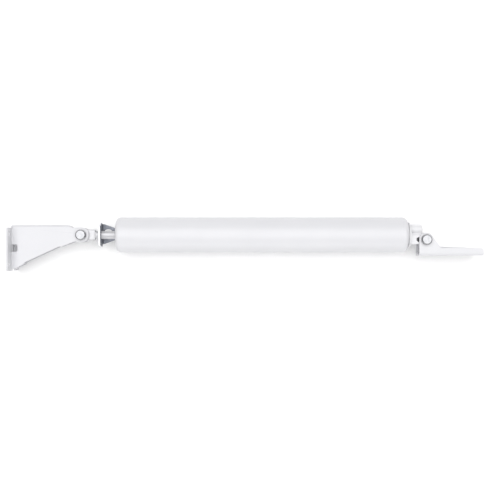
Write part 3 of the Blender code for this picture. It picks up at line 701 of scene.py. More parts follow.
def soften(piece: bpy.types.Object, width: float, segments: int = 2) -> None:
    """Join flat faces, round a piece's hard edges and even its shading.

    Args:
        piece: The object that is finished.
        width: How wide the rounded edge is, or 0 to leave the edges.
        segments: How many flats each rounded edge has.
    """
    bm = bmesh.new()
    bm.from_mesh(piece.data)
    bmesh.ops.remove_doubles(bm, verts=bm.verts, dist=MERGE)
    bmesh.ops.dissolve_limit(bm, angle_limit=FLAT_ANGLE, verts=bm.verts, edges=bm.edges)
    bmesh.ops.dissolve_degenerate(bm, dist=MERGE, edges=bm.edges)
    bm.to_mesh(piece.data)
    bm.free()
    if width:
        bevel(piece, width, segments, "MITER_ARC")
    piece.data.shade_smooth()
    piece.data.set_sharp_from_angle(angle=SHARP_ANGLE)
    even = piece.modifiers.new("even_shading", "WEIGHTED_NORMAL")
    even.keep_sharp = True
    apply_modifiers(piece)


def middle(node: str) -> Vector:
    """Return the middle of a CAD node's box."""
    low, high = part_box(node)
    return (low + high) / 2


def show(piece: bpy.types.Object, finish: Finish, body: Body, node: str) -> None:
    """Dress a finished piece and tie it to the frame.

    Args:
        piece: The piece, in place.
        finish: Its finish.
        body: The body that it rides on.
        node: The CAD node that it stands for.
    """
    piece.data.materials.clear()
    piece.data.materials.append(finish.material())
    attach(piece, body.value)
    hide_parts(node)
    LOG.info("%s: %d faces, %s, on body %s", piece.name, len(piece.data.polygons), finish.name, body.value)


# Sub-assemblies


@dataclass
class HeadedPin:
    """A headed pin along Z and the retaining ring on its lower end."""

    node: str
    body: Body
    half_width: float           # from the middle to the outside of the bracket that it holds
    diameter: float = 5.0 * MM
    head_diameter: float = 9.6 * MM
    head_flat: float = 7.2 * MM
    head_rim: float = 1.6 * MM
    end_chamfer: float = 0.5 * MM
    broken_edge: float = 0.1 * MM
    groove_depth: float = 0.8 * MM
    flats: int = 64
    dome_steps: int = 12
    clip_thickness: float = 0.8 * MM
    clip_edge: float = 0.12 * MM
    clip_width: float = 2.2 * MM
    clip_relief: float = 0.45           # how far into its width the ring is relieved between prongs
    clip_mouth: float = 0.8             # half its mouth's width, against the prongs' radius
    prong_share: float = 0.5            # how wide its three prongs are
    prong_slope: float = 0.8            # and how steep their sides
    clip_steps: int = 60

    def build(self) -> None:
        """Make the pin and its clip."""
        self.pin()
        self.clip()

    def pin(self) -> None:
        """Turn the pin: a domed head, a plain shank, a ring groove and a chamfered tail."""
        low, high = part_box(self.node)
        centre = middle(self.node)
        radius = self.diameter / 2
        head = self.head_diameter / 2
        head_start = self.half_width + FIT
        groove_top = -self.half_width
        groove_bottom = groove_top - self.clip_thickness - 2 * FIT
        groove = radius - self.groove_depth
        edge = self.broken_edge
        profile = rounded([
            (low.z, 0, 0), (low.z, radius - self.end_chamfer, edge), (low.z + self.end_chamfer, radius, edge),
            (groove_bottom, radius, edge), (groove_bottom, groove, 0), (groove_top, groove, 0),
            (groove_top, radius, edge), (head_start, radius, 0), (head_start, head, 2 * edge),
        ], 3)
        rim = head_start + self.head_rim
        rise = high.z - rim
        flat = self.head_flat / 2
        dome = arc((0, 0), 1, 0, 90, self.dome_steps)
        profile += [(rim + rise * up, flat + (head - flat) * out) for out, up in dome]
        profile.append((high.z, 0))
        bm = turned(profile, self.flats, centre * IN_PLANE, Axis.Z)
        pin = as_object(bm, self.node + "_fine")
        soften(pin, 0)
        show(pin, PIN_NICKEL, self.body, self.node)

    def clip(self) -> None:
        """Cut the open ring that snaps into the groove on three prongs."""
        node = self.node + "_clip"
        centre = middle(self.node)
        prong = self.diameter / 2 - self.groove_depth + FIT
        relief = prong + self.clip_width * self.clip_relief
        outer = self.diameter / 2 + self.clip_width
        opening = prong * self.clip_mouth
        gap = math.degrees(math.asin(opening / outer))
        mouth = math.degrees(math.asin(opening / prong))
        outline = arc((0, 0), outer, -90 + gap, 270 - gap, self.clip_steps)
        for step, (x, y) in enumerate(arc((0, 0), 1, 270 - mouth, mouth - 90, self.clip_steps)):
            wave = math.cos(4 * math.pi * step / self.clip_steps)
            lobe = min(1.0, max(0.0, self.prong_share + self.prong_slope * wave))
            radius = relief + (prong - relief) * lobe
            outline.append((radius * x, radius * y))
        top = -self.half_width - FIT
        bm = prism([(x + centre.x, y + centre.y) for x, y in outline], top - self.clip_thickness, top)
        clip = as_object(bm, node + "_fine")
        soften(clip, self.clip_edge)
        show(clip, TEMPERED, self.body, node)


@dataclass
class JambBracket:
    """A channel of enamelled sheet steel with two screw flanges, and its pin."""

    sheet: float = 1.5 * MM
    edge: float = 0.28 * MM             # the enamel's rounding over the sheet's cut edges
    half_width: float = 6.0 * MM        # to the outside of a cheek
    bend_radius: float = 1.0 * MM       # inside, along the web's edges
    flange_bend_radius: float = 1.2 * MM
    web_end: float = 51.7 * MM
    web_slope_end: float = 55.7 * MM
    heel: Point = (2.2 * MM, -30.8 * MM)
    notch_start: Point = (12.1 * MM, -26.4 * MM)
    notch_foot: Point = (13.0 * MM, -24.7 * MM)
    notch_head: Point = (44.0 * MM, -10.4 * MM)
    notch_end: Point = (45.8 * MM, -10.6 * MM)
    eye_foot: Point = (58.4 * MM, -5.8 * MM)
    foot_round: float = 2.0 * MM
    notch_round: float = 0.4 * MM       # where the notch steps in, and at the heel
    step_round: float = 0.3 * MM        # where it steps out
    flats: int = 40
    flange_corner: float = 2.5 * MM
    pin_bore: float = 2.8 * MM
    hole_radius: float = 2.4 * MM
    hole_heights: Point = (0.9 * MM, -26.4 * MM)
    hole_share: float = 0.62            # how far across its flange a screw hole lies
    window_length: float = 6.8 * MM
    window: Point = (-8.6 * MM, -15.2 * MM)
    window_corner: float = 1.5 * MM
    tab_bottom: float = -19.0 * MM      # the web's end is folded down over the jamb to here

    def build(self) -> None:
        """Make the bracket and its pin."""
        bracket = self.channel()
        self.trim(bracket)
        self.pierce(bracket)
        soften(bracket, self.edge)
        show(bracket, ENAMEL, Body.JAMB, "jamb_bracket")
        HeadedPin("jamb_pin", Body.JAMB, self.half_width).build()

    def channel(self) -> bpy.types.Object:
        """Bend the sheet into two cheeks, the web between them with its end tab, and the flanges.

        Returns:
            The untrimmed channel.
        """
        low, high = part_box("jamb_bracket")
        half = self.sheet / 2
        cheek = self.half_width - half
        web = high.y - half
        bend_mid = self.bend_radius + half
        flange_mid = self.flange_bend_radius + half
        start = half + flange_mid
        fold = half + bend_mid
        shoulder = web - bend_mid
        end = high.x + self.sheet
        flange_start = cheek + flange_mid
        faces = [
            [(start, low.y, cheek), (end, low.y, cheek), (end, shoulder, cheek), (start, shoulder, cheek)],
            [(start, web, 0), (end, web, 0), (end, web, cheek - bend_mid), (start, web, cheek - bend_mid)],
            [(fold, web, 0), (start, web, 0), (start, web, cheek - bend_mid), (fold, web, cheek - bend_mid)],
            [(half, self.tab_bottom, 0), (half, shoulder, 0), (half, shoulder, cheek - bend_mid),
             (half, self.tab_bottom, cheek - bend_mid)],
        ]
        faces += bend((fold, shoulder), bend_mid, 90, 180, (0, cheek - bend_mid), lambda x, y, z: (x, y, z))
        faces += bend((shoulder, cheek - bend_mid), bend_mid, 0, 90, (start, end),
                      lambda y, z, x: (x, y, z))
        faces += bend((start, flange_start), flange_mid, 180, 270, (low.y, shoulder),
                      lambda x, z, y: (x, y, z))
        rim = rounded([(low.y, flange_start, 0), (low.y, high.z, self.flange_corner),
                       (shoulder, high.z, self.flange_corner), (shoulder, flange_start, 0)])
        faces.append([(half, y, z) for y, z in rim])
        return thicken(faces, self.sheet, "jamb_bracket_fine", mirrored=True)

    def trim(self, bracket: bpy.types.Object) -> None:
        """Trim the channel to its outline along the pins.

        Args:
            bracket: The channel.
        """
        low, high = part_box("jamb_bracket")
        pin = middle("jamb_pin")
        eye = high.x - pin.x
        slope = (eye - high.y) / (self.web_slope_end - self.web_end)
        over = self.sheet
        top = [(-over, high.y + over, 0), (self.web_end + over / slope, high.y + over, 0),
               (self.web_slope_end, eye, 0)]
        foot = [(*self.eye_foot, self.foot_round), (*self.notch_end, self.notch_round),
                (*self.notch_head, self.notch_round), (*self.notch_foot, self.step_round),
                (*self.notch_start, self.step_round), (*self.heel, self.notch_round)]
        base = [(self.heel[0], low.y - over, 0), (-over, low.y - over, 0)]
        round_end = [(x, y, 0.0) for x, y in arc((pin.x, pin.y), eye, 90, -90, self.flats)]
        outline = rounded(top + round_end + foot + base)
        carve(bracket, prism(outline, low.z - over, high.z + over), Cut.KEEP_INSIDE)

    def pierce(self, bracket: bpy.types.Object) -> None:
        """Punch the windows, the pin's holes and the screw holes.

        Args:
            bracket: The trimmed channel.
        """
        low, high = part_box("jamb_bracket")
        window_top, window_bottom = self.window
        window = rounded([(self.window_length, window_top, self.window_corner),
                          (self.window_length, window_bottom, self.window_corner),
                          (self.sheet, window_bottom, 0), (self.sheet, window_top, 0)])
        carve(bracket, prism(window, low.z - self.sheet, high.z + self.sheet))
        drill(bracket, middle("jamb_pin") * IN_PLANE, Axis.Z, self.pin_bore, 3 * self.half_width)
        for height in self.hole_heights:
            for side in (-1, 1):
                reach = self.half_width + (high.z - self.half_width) * self.hole_share
                centre = Vector((self.sheet / 2, height, side * reach))
                drill(bracket, centre, Axis.X, self.hole_radius, 3 * self.sheet)


@dataclass
class PistonRod:
    """The bright rod, flattened to an eye at the jamb pin and turned down for the piston."""

    radius: float = 3.6 * MM
    eye_half_width: float = 5.2 * MM
    neck_half_width: float = 4.75 * MM
    eye_half_thickness: float = 3.0 * MM
    neck_length: float = 10.9 * MM
    blend_length: float = 2.6 * MM
    stud_radius: float = 2.5 * MM
    shoulder_to_end: float = 19.8 * MM
    thread_pitch: float = 0.8 * MM
    thread_depth: float = 0.35 * MM
    thread_length: float = 6.5 * MM
    chamfer: float = 0.3 * MM
    pin_bore: float = 2.8 * MM
    flats: int = 64
    eye_steps: int = 16
    blend_steps: int = 12
    eye_lip: tuple[float, int] = (0.86, 4)      # the eye's outer end is thinned to this, over so many steps
    eye_squareness: float = 9.0
    neck_squareness: float = 8.0
    round_squareness: float = 2.0

    def build(self) -> None:
        """Make the rod."""
        bm = bmesh.new()
        loft(bm, [self.ring(bm, *section) for section in self.sections()])
        rod = as_object(bm, "piston_rod_fine")
        drill(rod, middle("jamb_pin") * IN_PLANE, Axis.Z, self.pin_bore, 2 * self.eye_half_thickness,
              self.chamfer)
        soften(rod, 0)
        show(rod, ROD_STEEL, Body.ROD, "piston_rod")

    def sections(self) -> list[tuple[float, float, float, float]]:
        """List the rod's sections from the eye's end.

        Returns:
            Each section's place along X, half width, half thickness and squareness.
        """
        low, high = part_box("piston_rod")
        pin = low.x + self.eye_half_width
        neck = pin + self.neck_length
        thin, thin_steps = self.eye_lip
        found = []
        eye = arc((pin, 0), self.eye_half_width, 180, 90, self.eye_steps)
        for step, (x, half_y) in enumerate(eye[1:], 1):
            lip = min(1.0, thin + (1 - thin) * step / thin_steps)
            found.append((x, half_y, self.eye_half_thickness * lip, self.eye_squareness))
        found.append((neck, self.neck_half_width, self.eye_half_thickness, self.neck_squareness))
        for step in range(1, self.blend_steps + 1):
            share = step / self.blend_steps
            ease = share * share * (3 - 2 * share)
            found.append((neck + self.blend_length * share,
                          self.neck_half_width + (self.radius - self.neck_half_width) * ease,
                          self.eye_half_thickness + (self.radius - self.eye_half_thickness) * ease,
                          self.round_squareness + (self.neck_squareness - self.round_squareness)
                          * (1 - ease) ** 2))
        shoulder = high.x - self.shoulder_to_end
        thread = high.x - self.thread_length
        root = self.stud_radius - self.thread_depth
        run = [(shoulder - self.chamfer, self.radius), (shoulder, self.radius - self.chamfer),
               (shoulder + self.chamfer / 10, self.stud_radius), (thread, self.stud_radius)]
        for turn in range(int(self.thread_length / self.thread_pitch)):
            start = thread + (turn + 0.5) * self.thread_pitch
            run += [(start, root), (start + self.thread_pitch / 2, self.stud_radius)]
        run.append((high.x, root))
        return found + [(x, radius, radius, self.round_squareness) for x, radius in run]

    def ring(self, bm: bmesh.types.BMesh, x: float, half_y: float, half_z: float,
             squareness: float) -> list[bmesh.types.BMVert]:
        """Lay one section's points, rounder or squarer as asked.

        Args:
            bm: The mesh being built.
            x: The section's place along the rod.
            half_y: Its half width.
            half_z: Its half thickness.
            squareness: 2 for an ellipse, more for squarer corners.

        Returns:
            The section's points.
        """
        points = []
        for step in range(self.flats):
            angle = 2 * math.pi * (step + 0.5) / self.flats
            y = math.copysign(abs(math.cos(angle)) ** (2 / squareness), math.cos(angle))
            z = math.copysign(abs(math.sin(angle)) ** (2 / squareness), math.sin(angle))
            points.append(bm.verts.new((x, half_y * y, half_z * z)))
        return points


@dataclass
class HoldOpenWasher:
    """A bent zinc-plated plate with a round hole for the rod and another in its leg."""

    sheet: float = 1.4 * MM
    edge: float = 0.2 * MM
    bend_radius: float = 0.9 * MM
    near: float = 8.5 * MM              # from the rod's axis to the plate's plain edge
    far: float = 9.5 * MM               # from the rod's axis to the outside of the leg
    reach: float = 12.2 * MM            # from the plate's face to the leg's tip
    near_half: float = 8.3 * MM
    peak: Point = (11.35 * MM, -2.0 * MM)
    root_half: float = 9.15 * MM
    tip_half: float = 5.6 * MM
    rod_bore: float = 4.1 * MM
    leg_hole: float = 4.6 * MM
    leg_hole_reach: float = 6.2 * MM
    lean: float = math.radians(6)       # how the loose washer hangs, turned about the rod

    def build(self) -> None:
        """Make the washer."""
        half = self.sheet / 2
        bend_mid = self.bend_radius + half
        leg = half - self.far
        bend_z = leg + bend_mid
        root = half + bend_mid
        side = [(self.near_half, self.near), self.peak, (self.root_half, bend_z)]
        faces = [[(half, y, z) for y, z in side + [(-y, z) for y, z in reversed(side)]]]
        faces += bend((root, bend_z), bend_mid, 180, 270, (-self.root_half, self.root_half),
                      lambda x, z, y: (x, y, z))
        faces.append([(root, self.root_half, leg), (self.reach, self.tip_half, leg),
                      (self.reach, -self.tip_half, leg), (root, -self.root_half, leg)])
        washer = thicken(faces, self.sheet, "hold_open_washer_fine", mirrored=False)
        drill(washer, Vector((half, 0, 0)), Axis.X, self.rod_bore, 3 * self.sheet)
        drill(washer, Vector((self.leg_hole_reach, 0, leg)), Axis.Z, self.leg_hole, 3 * self.sheet)
        soften(washer, self.edge)
        show(washer, ZINC, Body.WASHER, "hold_open_washer")
        self.paint_edge_highlight(washer)
        turn = Matrix.Rotation(self.lean, 4, "X")
        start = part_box("hold_open_washer")[0].x
        washer.data.transform(Matrix.Translation((start, 0, 0)) @ turn)

    def paint_edge_highlight(self, washer: bpy.types.Object) -> None:
        """Give the plate's sheared edges a far lighter zinc: a painted highlight along them.

        Args:
            washer: The washer, not yet turned or moved to its place.
        """
        washer.data.materials.append(ZINC_EDGE_HIGHLIGHT.material())
        for face in washer.data.polygons:
            x, y, z = face.center
            on_rim = abs(y) > self.near_half or abs(z) > self.near - self.edge
            faces_along_plate = abs(face.normal.x) < math.sin(SHARP_ANGLE)
            if x < self.sheet and on_rim and faces_along_plate:
                face.material_index = 1


@dataclass
class CloserTube:
    """The enamelled tube, rolled in at both ends, and the guide bush in its nose."""

    wall: float = 1.1 * MM
    nose_corner: float = 3.8 * MM
    tail_corner: float = 4.2 * MM
    lip: float = 4.3 * MM
    lip_round: float = 0.44 * MM        # the rolled edge's rounding
    rod_bore: float = 3.9 * MM
    bore_round: float = 0.5 * MM
    guide_edge: float = 0.25 * MM
    guide_end: float = 0.4 * MM
    tube_flats: int = 144
    guide_flats: int = 96

    def build(self) -> None:
        """Make the tube and its guide."""
        self.tube()
        self.guide()

    def tube(self) -> None:
        """Turn the tube's wall."""
        low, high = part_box("closer_tube")
        length = high.x - low.x
        outer = high.z
        mouth = outer - self.lip
        nose = (self.nose_corner, outer - self.nose_corner)
        tail = (length - self.tail_corner, outer - self.tail_corner)
        lip_end = rounded([(self.wall, mouth, self.lip_round), (0, mouth, self.lip_round),
                           (0, nose[1], 0), (self.wall, nose[1], 0)], 4)[:10]
        tail_end = rounded([(length, mouth, self.lip_round), (length - self.wall, mouth, self.lip_round),
                            (length - self.wall, tail[1], 0), (length, tail[1], 0)], 4)[:10]
        profile = lip_end
        profile += arc(nose, self.nose_corner, 180, 90, 12)
        profile += arc(tail, self.tail_corner, 90, 0, 12)
        profile += tail_end
        profile += arc(tail, self.tail_corner - self.wall, 0, 90, 8)
        profile += arc(nose, self.nose_corner - self.wall, 90, 180, 8)
        bm = turned(profile, self.tube_flats, Vector((low.x, 0, 0)))
        tube = as_object(bm, "closer_tube_fine")
        soften(tube, 0)
        show(tube, ENAMEL, Body.TUBE, "closer_tube")

    def guide(self) -> None:
        """Turn the bush that the rod slides through."""
        low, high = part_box("rod_guide")
        length = high.x - low.x
        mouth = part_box("closer_tube")[1].z - self.lip - FIT
        step = self.wall
        corner = self.nose_corner - self.wall - FIT
        profile = rounded([
            (0, self.rod_bore, self.bore_round), (0, mouth, self.guide_edge), (step, mouth, 0),
            (step, high.z, corner), (length, high.z, self.guide_end),
            (length, self.rod_bore, self.bore_round),
        ])
        bm = turned(profile, self.guide_flats, Vector((low.x, 0, 0)))
        guide = as_object(bm, "rod_guide_fine")
        soften(guide, 0)
        show(guide, ACETAL, Body.TUBE, "rod_guide")


@dataclass
class EndPlug:
    """The moulded plug: a turned body in the tube, a valve boss and the tongue for the door pin."""

    edge: float = 0.35 * MM
    lead_in: float = 0.5 * MM
    groove_round: float = 0.15 * MM
    mouth_chamfer: float = 0.3 * MM
    body_flats: int = 96
    boss_flats: int = 72
    bore_flats: int = 48
    ring_groove: Point = (4.0 * MM, 2.4 * MM)       # its distance from the inner face, and its width
    ring_depth: float = 1.9 * MM
    neck_start: float = 16.3 * MM
    corner: float = 2.8 * MM
    neck_radius: float = 10.4 * MM
    shoulder: Point = (18.6 * MM, 20.0 * MM)        # where the shoulder starts and ends
    shoulder_radius: float = 11.3 * MM
    boss_radius: float = 4.6 * MM
    boss_end: float = 31.4 * MM
    boss_corner: float = 1.1 * MM
    rib_thickness: float = 6.2 * MM                 # the flat rib that joins the boss to the tongue
    rib_end: float = 30.5 * MM
    tongue_height: float = 8.3 * MM
    tongue_thickness: float = 12.6 * MM
    pin_bore: float = 2.8 * MM
    pocket_radius: float = 2.1 * MM
    pocket_depth: float = 11.0 * MM
    pocket_from_pin: float = 6.2 * MM
    screw_bore: float = 3.0 * MM
    screw_seat: float = 11.3 * MM
    needle_bore: float = 1.0 * MM
    slot: Point = (1.0 * MM, 1.2 * MM)              # the screw's slot: its width and depth
    needle: tuple[float, float, float] = (4.5 * MM, 0.7 * MM, 0.35 * MM)    # its length, radius and tip
    screw_groove: Point = (1.5 * MM, 1.5 * MM)      # the screw's ring groove: its radius and width
    screw_edge: float = 0.12 * MM
    slot_edge: float = 0.08 * MM

    def build(self) -> None:
        """Make the plug and its valve screw."""
        self.plug()
        self.screw()

    def plug(self) -> None:
        """Turn the body, join the boss and the tongue, and cut the bores."""
        low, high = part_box("end_plug")
        start = Vector((low.x, 0, 0))
        valve = Vector((low.x, middle("adjusting_screw").y, 0))
        ring, width = self.ring_groove
        groove = high.z - self.ring_depth
        body = turned(rounded([
            (0, 0, 0), (0, high.z, self.lead_in), (ring, high.z, self.groove_round),
            (ring, groove, self.groove_round), (ring + width, groove, self.groove_round),
            (ring + width, high.z, self.groove_round), (self.neck_start, high.z, self.corner),
            (self.neck_start, self.neck_radius, 0), (self.shoulder[0], self.neck_radius, self.groove_round),
            (self.shoulder[0], self.shoulder_radius, self.edge),
            (self.shoulder[1], self.shoulder_radius, self.edge), (self.shoulder[1], 0, 0),
        ]), self.body_flats, start)
        plug = as_object(body, "end_plug_fine")
        root = self.neck_start
        boss = rounded([(root, 0, 0), (root, self.boss_radius, 0),
                        (self.boss_end, self.boss_radius, self.boss_corner), (self.boss_end, 0, 0)], 8)
        carve(plug, turned(boss, self.boss_flats, valve), Cut.JOIN)
        carve(plug, self.rib(low.x + root, low.x + self.rib_end, valve.y + self.boss_radius), Cut.JOIN)
        carve(plug, self.tongue(low.x + root), Cut.JOIN)
        pin = middle("door_pin") * IN_PLANE
        drill(plug, pin, Axis.Z, self.pin_bore, self.tongue_thickness, self.mouth_chamfer)
        half = self.tongue_thickness / 2
        pocket = rounded([(half - self.pocket_depth, 0, 0),
                          (half - self.pocket_depth, self.pocket_radius, self.lead_in),
                          (half - self.edge, self.pocket_radius, 0),
                          (half + FIT, self.pocket_radius + self.edge + FIT, 0),
                          (half + FIT, 0, 0)])
        carve(plug, turned(pocket, self.bore_flats, pin - Vector((self.pocket_from_pin, 0, 0)), Axis.Z))
        mouth = self.boss_end
        bore = [(-FIT, 0), (-FIT, self.needle_bore), (self.screw_seat, self.needle_bore),
                (self.screw_seat, self.screw_bore), (mouth - FIT, self.screw_bore),
                (mouth + FIT, self.screw_bore + 2 * FIT), (mouth + FIT, 0)]
        carve(plug, turned(bore, self.bore_flats, valve))
        soften(plug, 0)
        show(plug, ACETAL, Body.TUBE, "end_plug")

    def rib(self, root: float, end: float, top: float) -> bmesh.types.BMesh:
        """Lay the flat rib under the boss, from the tongue to the boss's upper side.

        Args:
            root: Where the rib starts, inside the shoulder.
            end: Where it ends.
            top: Its upper side.

        Returns:
            The rib's solid.
        """
        pin = middle("door_pin")
        outline = rounded([(root, pin.y, 0), (end, pin.y, 0), (end, top, self.boss_corner), (root, top, 0)])
        return self.block(outline, self.rib_thickness / 2)

    def tongue(self, root: float) -> bmesh.types.BMesh:
        """Carry the tongue's outline across the plug.

        Args:
            root: Where the tongue starts, inside the shoulder.

        Returns:
            The tongue's solid.
        """
        pin = middle("door_pin")
        radius = self.tongue_height / 2
        outline = [(root, pin.y - radius), *arc((pin.x, pin.y), radius, -90, 90, 32), (root, pin.y + radius)]
        return self.block(outline, self.tongue_thickness / 2)

    def block(self, outline: Sequence[Point], half: float) -> bmesh.types.BMesh:
        """Carry an outline to both sides of the middle plane and round its long edges.

        Args:
            outline: The outline's points.
            half: Half its thickness.

        Returns:
            The solid.
        """
        holder = as_object(prism(outline, -half, half), "block")
        bevel(holder, self.edge, 3)
        bm = bmesh.new()
        bm.from_mesh(holder.data)
        bpy.data.objects.remove(holder, do_unlink=True)
        return bm

    def screw(self) -> None:
        """Turn the valve screw and cut its slot."""
        low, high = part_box("adjusting_screw")
        centre = middle("adjusting_screw")
        radius = (high.y - low.y) / 2
        length = high.x - low.x
        needle, needle_radius, tip = self.needle
        groove, width = self.screw_groove
        start = (needle + length - width) / 2
        end = start + width
        edge = self.screw_edge
        profile = rounded([
            (0, 0, 0), (0, tip, edge), (needle / 2, needle_radius, 0), (needle, needle_radius, 0),
            (needle, radius, 2 * edge), (start, radius, edge), (start, groove, 0), (end, groove, 0),
            (end, radius, edge), (length, radius, 3 * edge), (length, 0, 0),
        ], 3)
        bm = turned(profile, self.bore_flats, Vector((low.x, centre.y, 0)))
        screw = as_object(bm, "adjusting_screw_fine")
        width, depth = self.slot
        slot = [(high.x - depth, centre.y - radius - FIT), (high.x + FIT, centre.y - radius - FIT),
                (high.x + FIT, centre.y + radius + FIT), (high.x - depth, centre.y + radius + FIT)]
        carve(screw, prism(slot, -width / 2, width / 2))
        soften(screw, self.slot_edge, 1)
        show(screw, BRASS, Body.SCREW, "adjusting_screw")


@dataclass
class DoorBracket:
    """A channel of enamelled sheet steel with two ears and low lips, and its pin."""

    sheet: float = 1.5 * MM
    edge: float = 0.28 * MM
    half_width: float = 8.2 * MM
    bend_radius: float = 1.0 * MM
    lip_height: float = 6.8 * MM
    slope_top: Point = (5.2 * MM, 3.4 * MM)         # from the pin
    slope_foot: Point = (11.9 * MM, -5.8 * MM)
    foot_run: float = 1.0 * MM
    end_corner: float = 2.6 * MM
    foot_round: float = 0.5 * MM
    flats: int = 40
    far_lip: Point = (36.0 * MM, 1.3 * MM)          # how far the far lip runs higher, and by how much
    pin_bore: float = 2.8 * MM
    hole_radius: float = 2.4 * MM
    holes: Point = (22.0 * MM, 40.0 * MM)           # from the pin

    def build(self) -> None:
        """Make the bracket and its pin."""
        bracket = self.channel()
        self.trim(bracket)
        pin = middle("door_pin")
        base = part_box("door_bracket")[0].y + self.sheet / 2
        drill(bracket, pin * IN_PLANE, Axis.Z, self.pin_bore, 3 * self.half_width)
        for reach in self.holes:
            centre = Vector((pin.x + reach, base, 0))
            drill(bracket, centre, Axis.Y, self.hole_radius, 3 * self.sheet)
        soften(bracket, self.edge)
        show(bracket, ENAMEL, Body.DOOR, "door_bracket")
        HeadedPin("door_pin", Body.DOOR, self.half_width).build()

    def channel(self) -> bpy.types.Object:
        """Bend the sheet into a base and two sides.

        Returns:
            The untrimmed channel.
        """
        low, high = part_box("door_bracket")
        half = self.sheet / 2
        side = self.half_width - half
        base = low.y + half
        bend_mid = self.bend_radius + half
        start = low.x - self.sheet
        end = high.x + self.sheet
        top = high.y + self.sheet
        faces = [
            [(start, base, 0), (end, base, 0), (end, base, side - bend_mid), (start, base, side - bend_mid)],
            [(start, base + bend_mid, side), (end, base + bend_mid, side), (end, top, side),
             (start, top, side)],
        ]
        faces += bend((base + bend_mid, side - bend_mid), bend_mid, 180, 90, (start, end),
                      lambda y, z, x: (x, y, z))
        return thicken(faces, self.sheet, "door_bracket_fine", mirrored=True)

    def trim(self, bracket: bpy.types.Object) -> None:
        """Trim the sides to their outline, the near lip a little lower than the far one.

        Args:
            bracket: The channel.
        """
        low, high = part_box("door_bracket")
        pin = middle("door_pin")
        heel = pin.x - low.x
        lip = low.y + self.lip_height
        run, rise = self.far_lip
        foot_x = pin.x + self.slope_foot[0] + self.foot_run / 2
        foot_y = pin.y + self.slope_foot[1]
        over = self.sheet
        slope_angle = math.degrees(math.atan2(self.slope_top[1], self.slope_top[0]))
        ear = [(x, y, 0.0) for x, y in arc((pin.x, pin.y), heel, slope_angle, 180, self.flats)]
        outline = rounded([(low.x, low.y - over, 0), (high.x, low.y - over, 0),
                           (high.x, lip, self.end_corner), (foot_x + run, lip, 0),
                           (foot_x, lip + rise, self.foot_round),
                           (pin.x + self.slope_foot[0], foot_y, 0), *ear])
        outside = self.half_width + over
        carve(bracket, prism(outline, -outside, outside), Cut.KEEP_INSIDE)
        near_foot = pin.x + self.slope_foot[0] + self.foot_run
        sliver = [(near_foot, lip), (foot_x + run - over, lip), (foot_x + run - over, foot_y + over),
                  (near_foot - self.foot_run + FIT, foot_y + over)]
        carve(bracket, prism(sliver, 0, outside))


@dataclass
class SpringAndPiston:
    """The closing spring, drawn fine, and the plain inner pieces, which keep their own meshes."""

    wire_radius: float = 0.85 * MM
    turns: int = 23
    close_pitch: float = 1.9 * MM
    steps: int = 40
    flats: int = 14

    inner: tuple[tuple[str, Finish], ...] = (
        ("piston_body", NYLON), ("piston_cup_seal", RUBBER), ("cup_retainer", ZINC), ("piston_nut", ZINC),
        ("rear_spring_seat", ZINC), ("front_spring_seat", ZINC), ("end_plug_o_ring", RUBBER),
        ("adjusting_screw_o_ring", RUBBER),
    )

    def build(self) -> None:
        """Make the spring and dress the inner pieces."""
        self.spring()
        for node, finish in self.inner:
            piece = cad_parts[node]
            for slot in piece.material_slots:
                slot.material = finish.material()
            LOG.info("%s: kept, %s", node, finish.name)

    def spring(self) -> None:
        """Wind the spring: an open coil whose end turns lie close."""
        low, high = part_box("closing_spring")
        start = low.x + self.wire_radius
        length = high.x - low.x - 2 * self.wire_radius
        open_pitch = (length - 2 * self.close_pitch) / (self.turns - 2)
        radius = high.z - self.wire_radius
        bm = bmesh.new()
        rings = []
        for index in range(self.turns * self.steps + 1):
            turn = index / self.steps
            inner = min(max(turn - 1, 0), self.turns - 2)
            x = start + self.close_pitch * (turn - inner) + open_pitch * inner
            angle = 2 * math.pi * turn
            outward = Vector((0, math.cos(angle), math.sin(angle)))
            ring = []
            for flat in range(self.flats):
                lean = 2 * math.pi * flat / self.flats
                spot = outward * (radius + self.wire_radius * math.cos(lean))
                ring.append(bm.verts.new((x + self.wire_radius * math.sin(lean), spot.y, spot.z)))
            rings.append(ring)
        loft(bm, rings)
        spring = as_object(bm, "closing_spring_fine")
        spring.data.shade_smooth()
        spring.data.set_sharp_from_angle(angle=SHARP_ANGLE)
        show(spring, TEMPERED, Body.SPRING, "closing_spring")
        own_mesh(spring)


@dataclass
class SoftBox:
    """A rectangular light with a diffuser."""

    name: str
    place: Corner
    size: Point
    power: float                # in watts
    target: Corner = (0.21, 0.0, 0.0)

    def build(self) -> None:
        """Hang the light and aim it."""
        lamp = bpy.data.lights.new(self.name, "AREA")
        lamp.shape = "RECTANGLE"
        lamp.size, lamp.size_y = self.size
        lamp.energy = self.power
        holder = bpy.data.objects.new(self.name, lamp)
        holder.location = self.place
        aim = Vector(self.target) - Vector(self.place)
        holder.rotation_euler = aim.to_track_quat("-Z", "Y").to_euler()
        bpy.context.scene.collection.objects.link(holder)


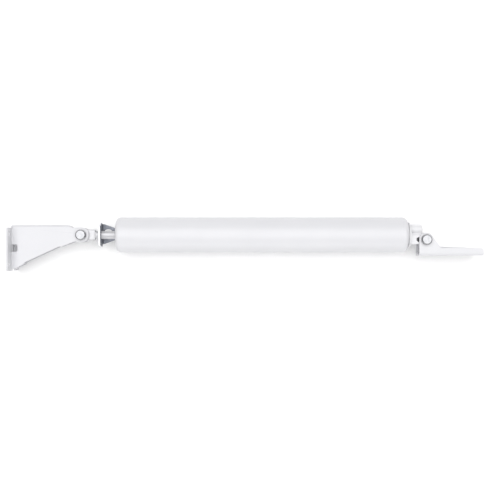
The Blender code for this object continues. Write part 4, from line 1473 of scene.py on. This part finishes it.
@dataclass
class Studio:
    """The pale floor, the soft lights and the camera."""

    floor_drop: float = 0.3 * MM        # how far the floor lies below the flanges
    floor_size: float = 8.0
    paper: str = "fcfcfc"
    paper_shade: str = "fafafa"
    fibre: Pattern = Pattern((0.9 * MM,) * 3)
    zenith: float = 0.62                # how bright the room is overhead
    horizon: float = 0.26               # and level with the floor
    mid_height: float = 0.8             # the heading's height from which the room is brightest
    lights: tuple[SoftBox, ...] = (SoftBox("overhead", (0.21, 0.34, 1.45), (2.1, 1.5), 23.5),
                                   SoftBox("front", (0.21, -1.2, 0.4), (2.0, 0.5), 6.0))
    camera_place: Corner = (0.2113, -0.0091, 0.74)
    lens: float = 60.0

    def build(self) -> None:
        """Lay the floor, hang the lights and set the camera."""
        self.floor()
        self.surround()
        for light in self.lights:
            light.build()
        self.camera()

    def floor(self) -> None:
        """Lay a sheet of matt paper just below the object."""
        half = self.floor_size / 2
        height = CAD_BOX[0].z - self.floor_drop
        bm = bmesh.new()
        corners = [(-half, -half), (half, -half), (half, half), (-half, half)]
        bm.faces.new([bm.verts.new((x, y, height)) for x, y in corners])
        sheet = as_object(bm, "floor")
        material = bpy.data.materials.new("matt_paper")
        material.use_nodes = True
        tree = material.node_tree
        shader = tree.nodes["Principled BSDF"]
        shader.inputs["Roughness"].default_value = 0.95
        shader.inputs["Specular IOR Level"].default_value = 0.0
        fibres = spread(tree, self.fibre.noise(tree), 0.0, 1.0)
        mixed = blend_colours(tree, fibres, linear(self.paper), linear(self.paper_shade))
        tree.links.new(mixed, shader.inputs["Base Color"])
        sheet.data.materials.append(material)

    def surround(self) -> None:
        """Fill the room with white light that falls off from overhead to the horizon."""
        world = bpy.data.worlds.new("white_room")
        world.use_nodes = True
        tree = world.node_tree
        background = tree.nodes["Background"]
        background.inputs["Color"].default_value = (1, 1, 1, 1)
        heading = add_node(tree, "ShaderNodeTexCoord").outputs["Generated"]
        height = add_node(tree, "ShaderNodeSeparateXYZ", None, {"Vector": heading}).outputs["Z"]
        strength = spread(tree, height, self.horizon, self.zenith, 0.0, self.mid_height)
        tree.links.new(strength, background.inputs["Strength"])
        bpy.context.scene.world = world
        bpy.context.scene.view_settings.view_transform = "Standard"

    def camera(self) -> None:
        """Look straight down along the pins."""
        lens = bpy.data.cameras.new("camera")
        lens.lens = self.lens
        lens.clip_start = 0.01
        holder = bpy.data.objects.new("camera", lens)
        holder.location = self.camera_place
        bpy.context.scene.collection.objects.link(holder)
        bpy.context.scene.camera = holder


def main() -> None:
    """Build every sub-assembly from the jamb to the door, then the studio."""
    logging.basicConfig(level=logging.INFO, format="%(name)s: %(message)s")
    for assembly in (JambBracket(), PistonRod(), HoldOpenWasher(), CloserTube(), EndPlug(), DoorBracket(),
                     SpringAndPiston(), Studio()):
        LOG.info("building %s", type(assembly).__name__)
        assembly.build()


if __name__ == "__main__":
    main()
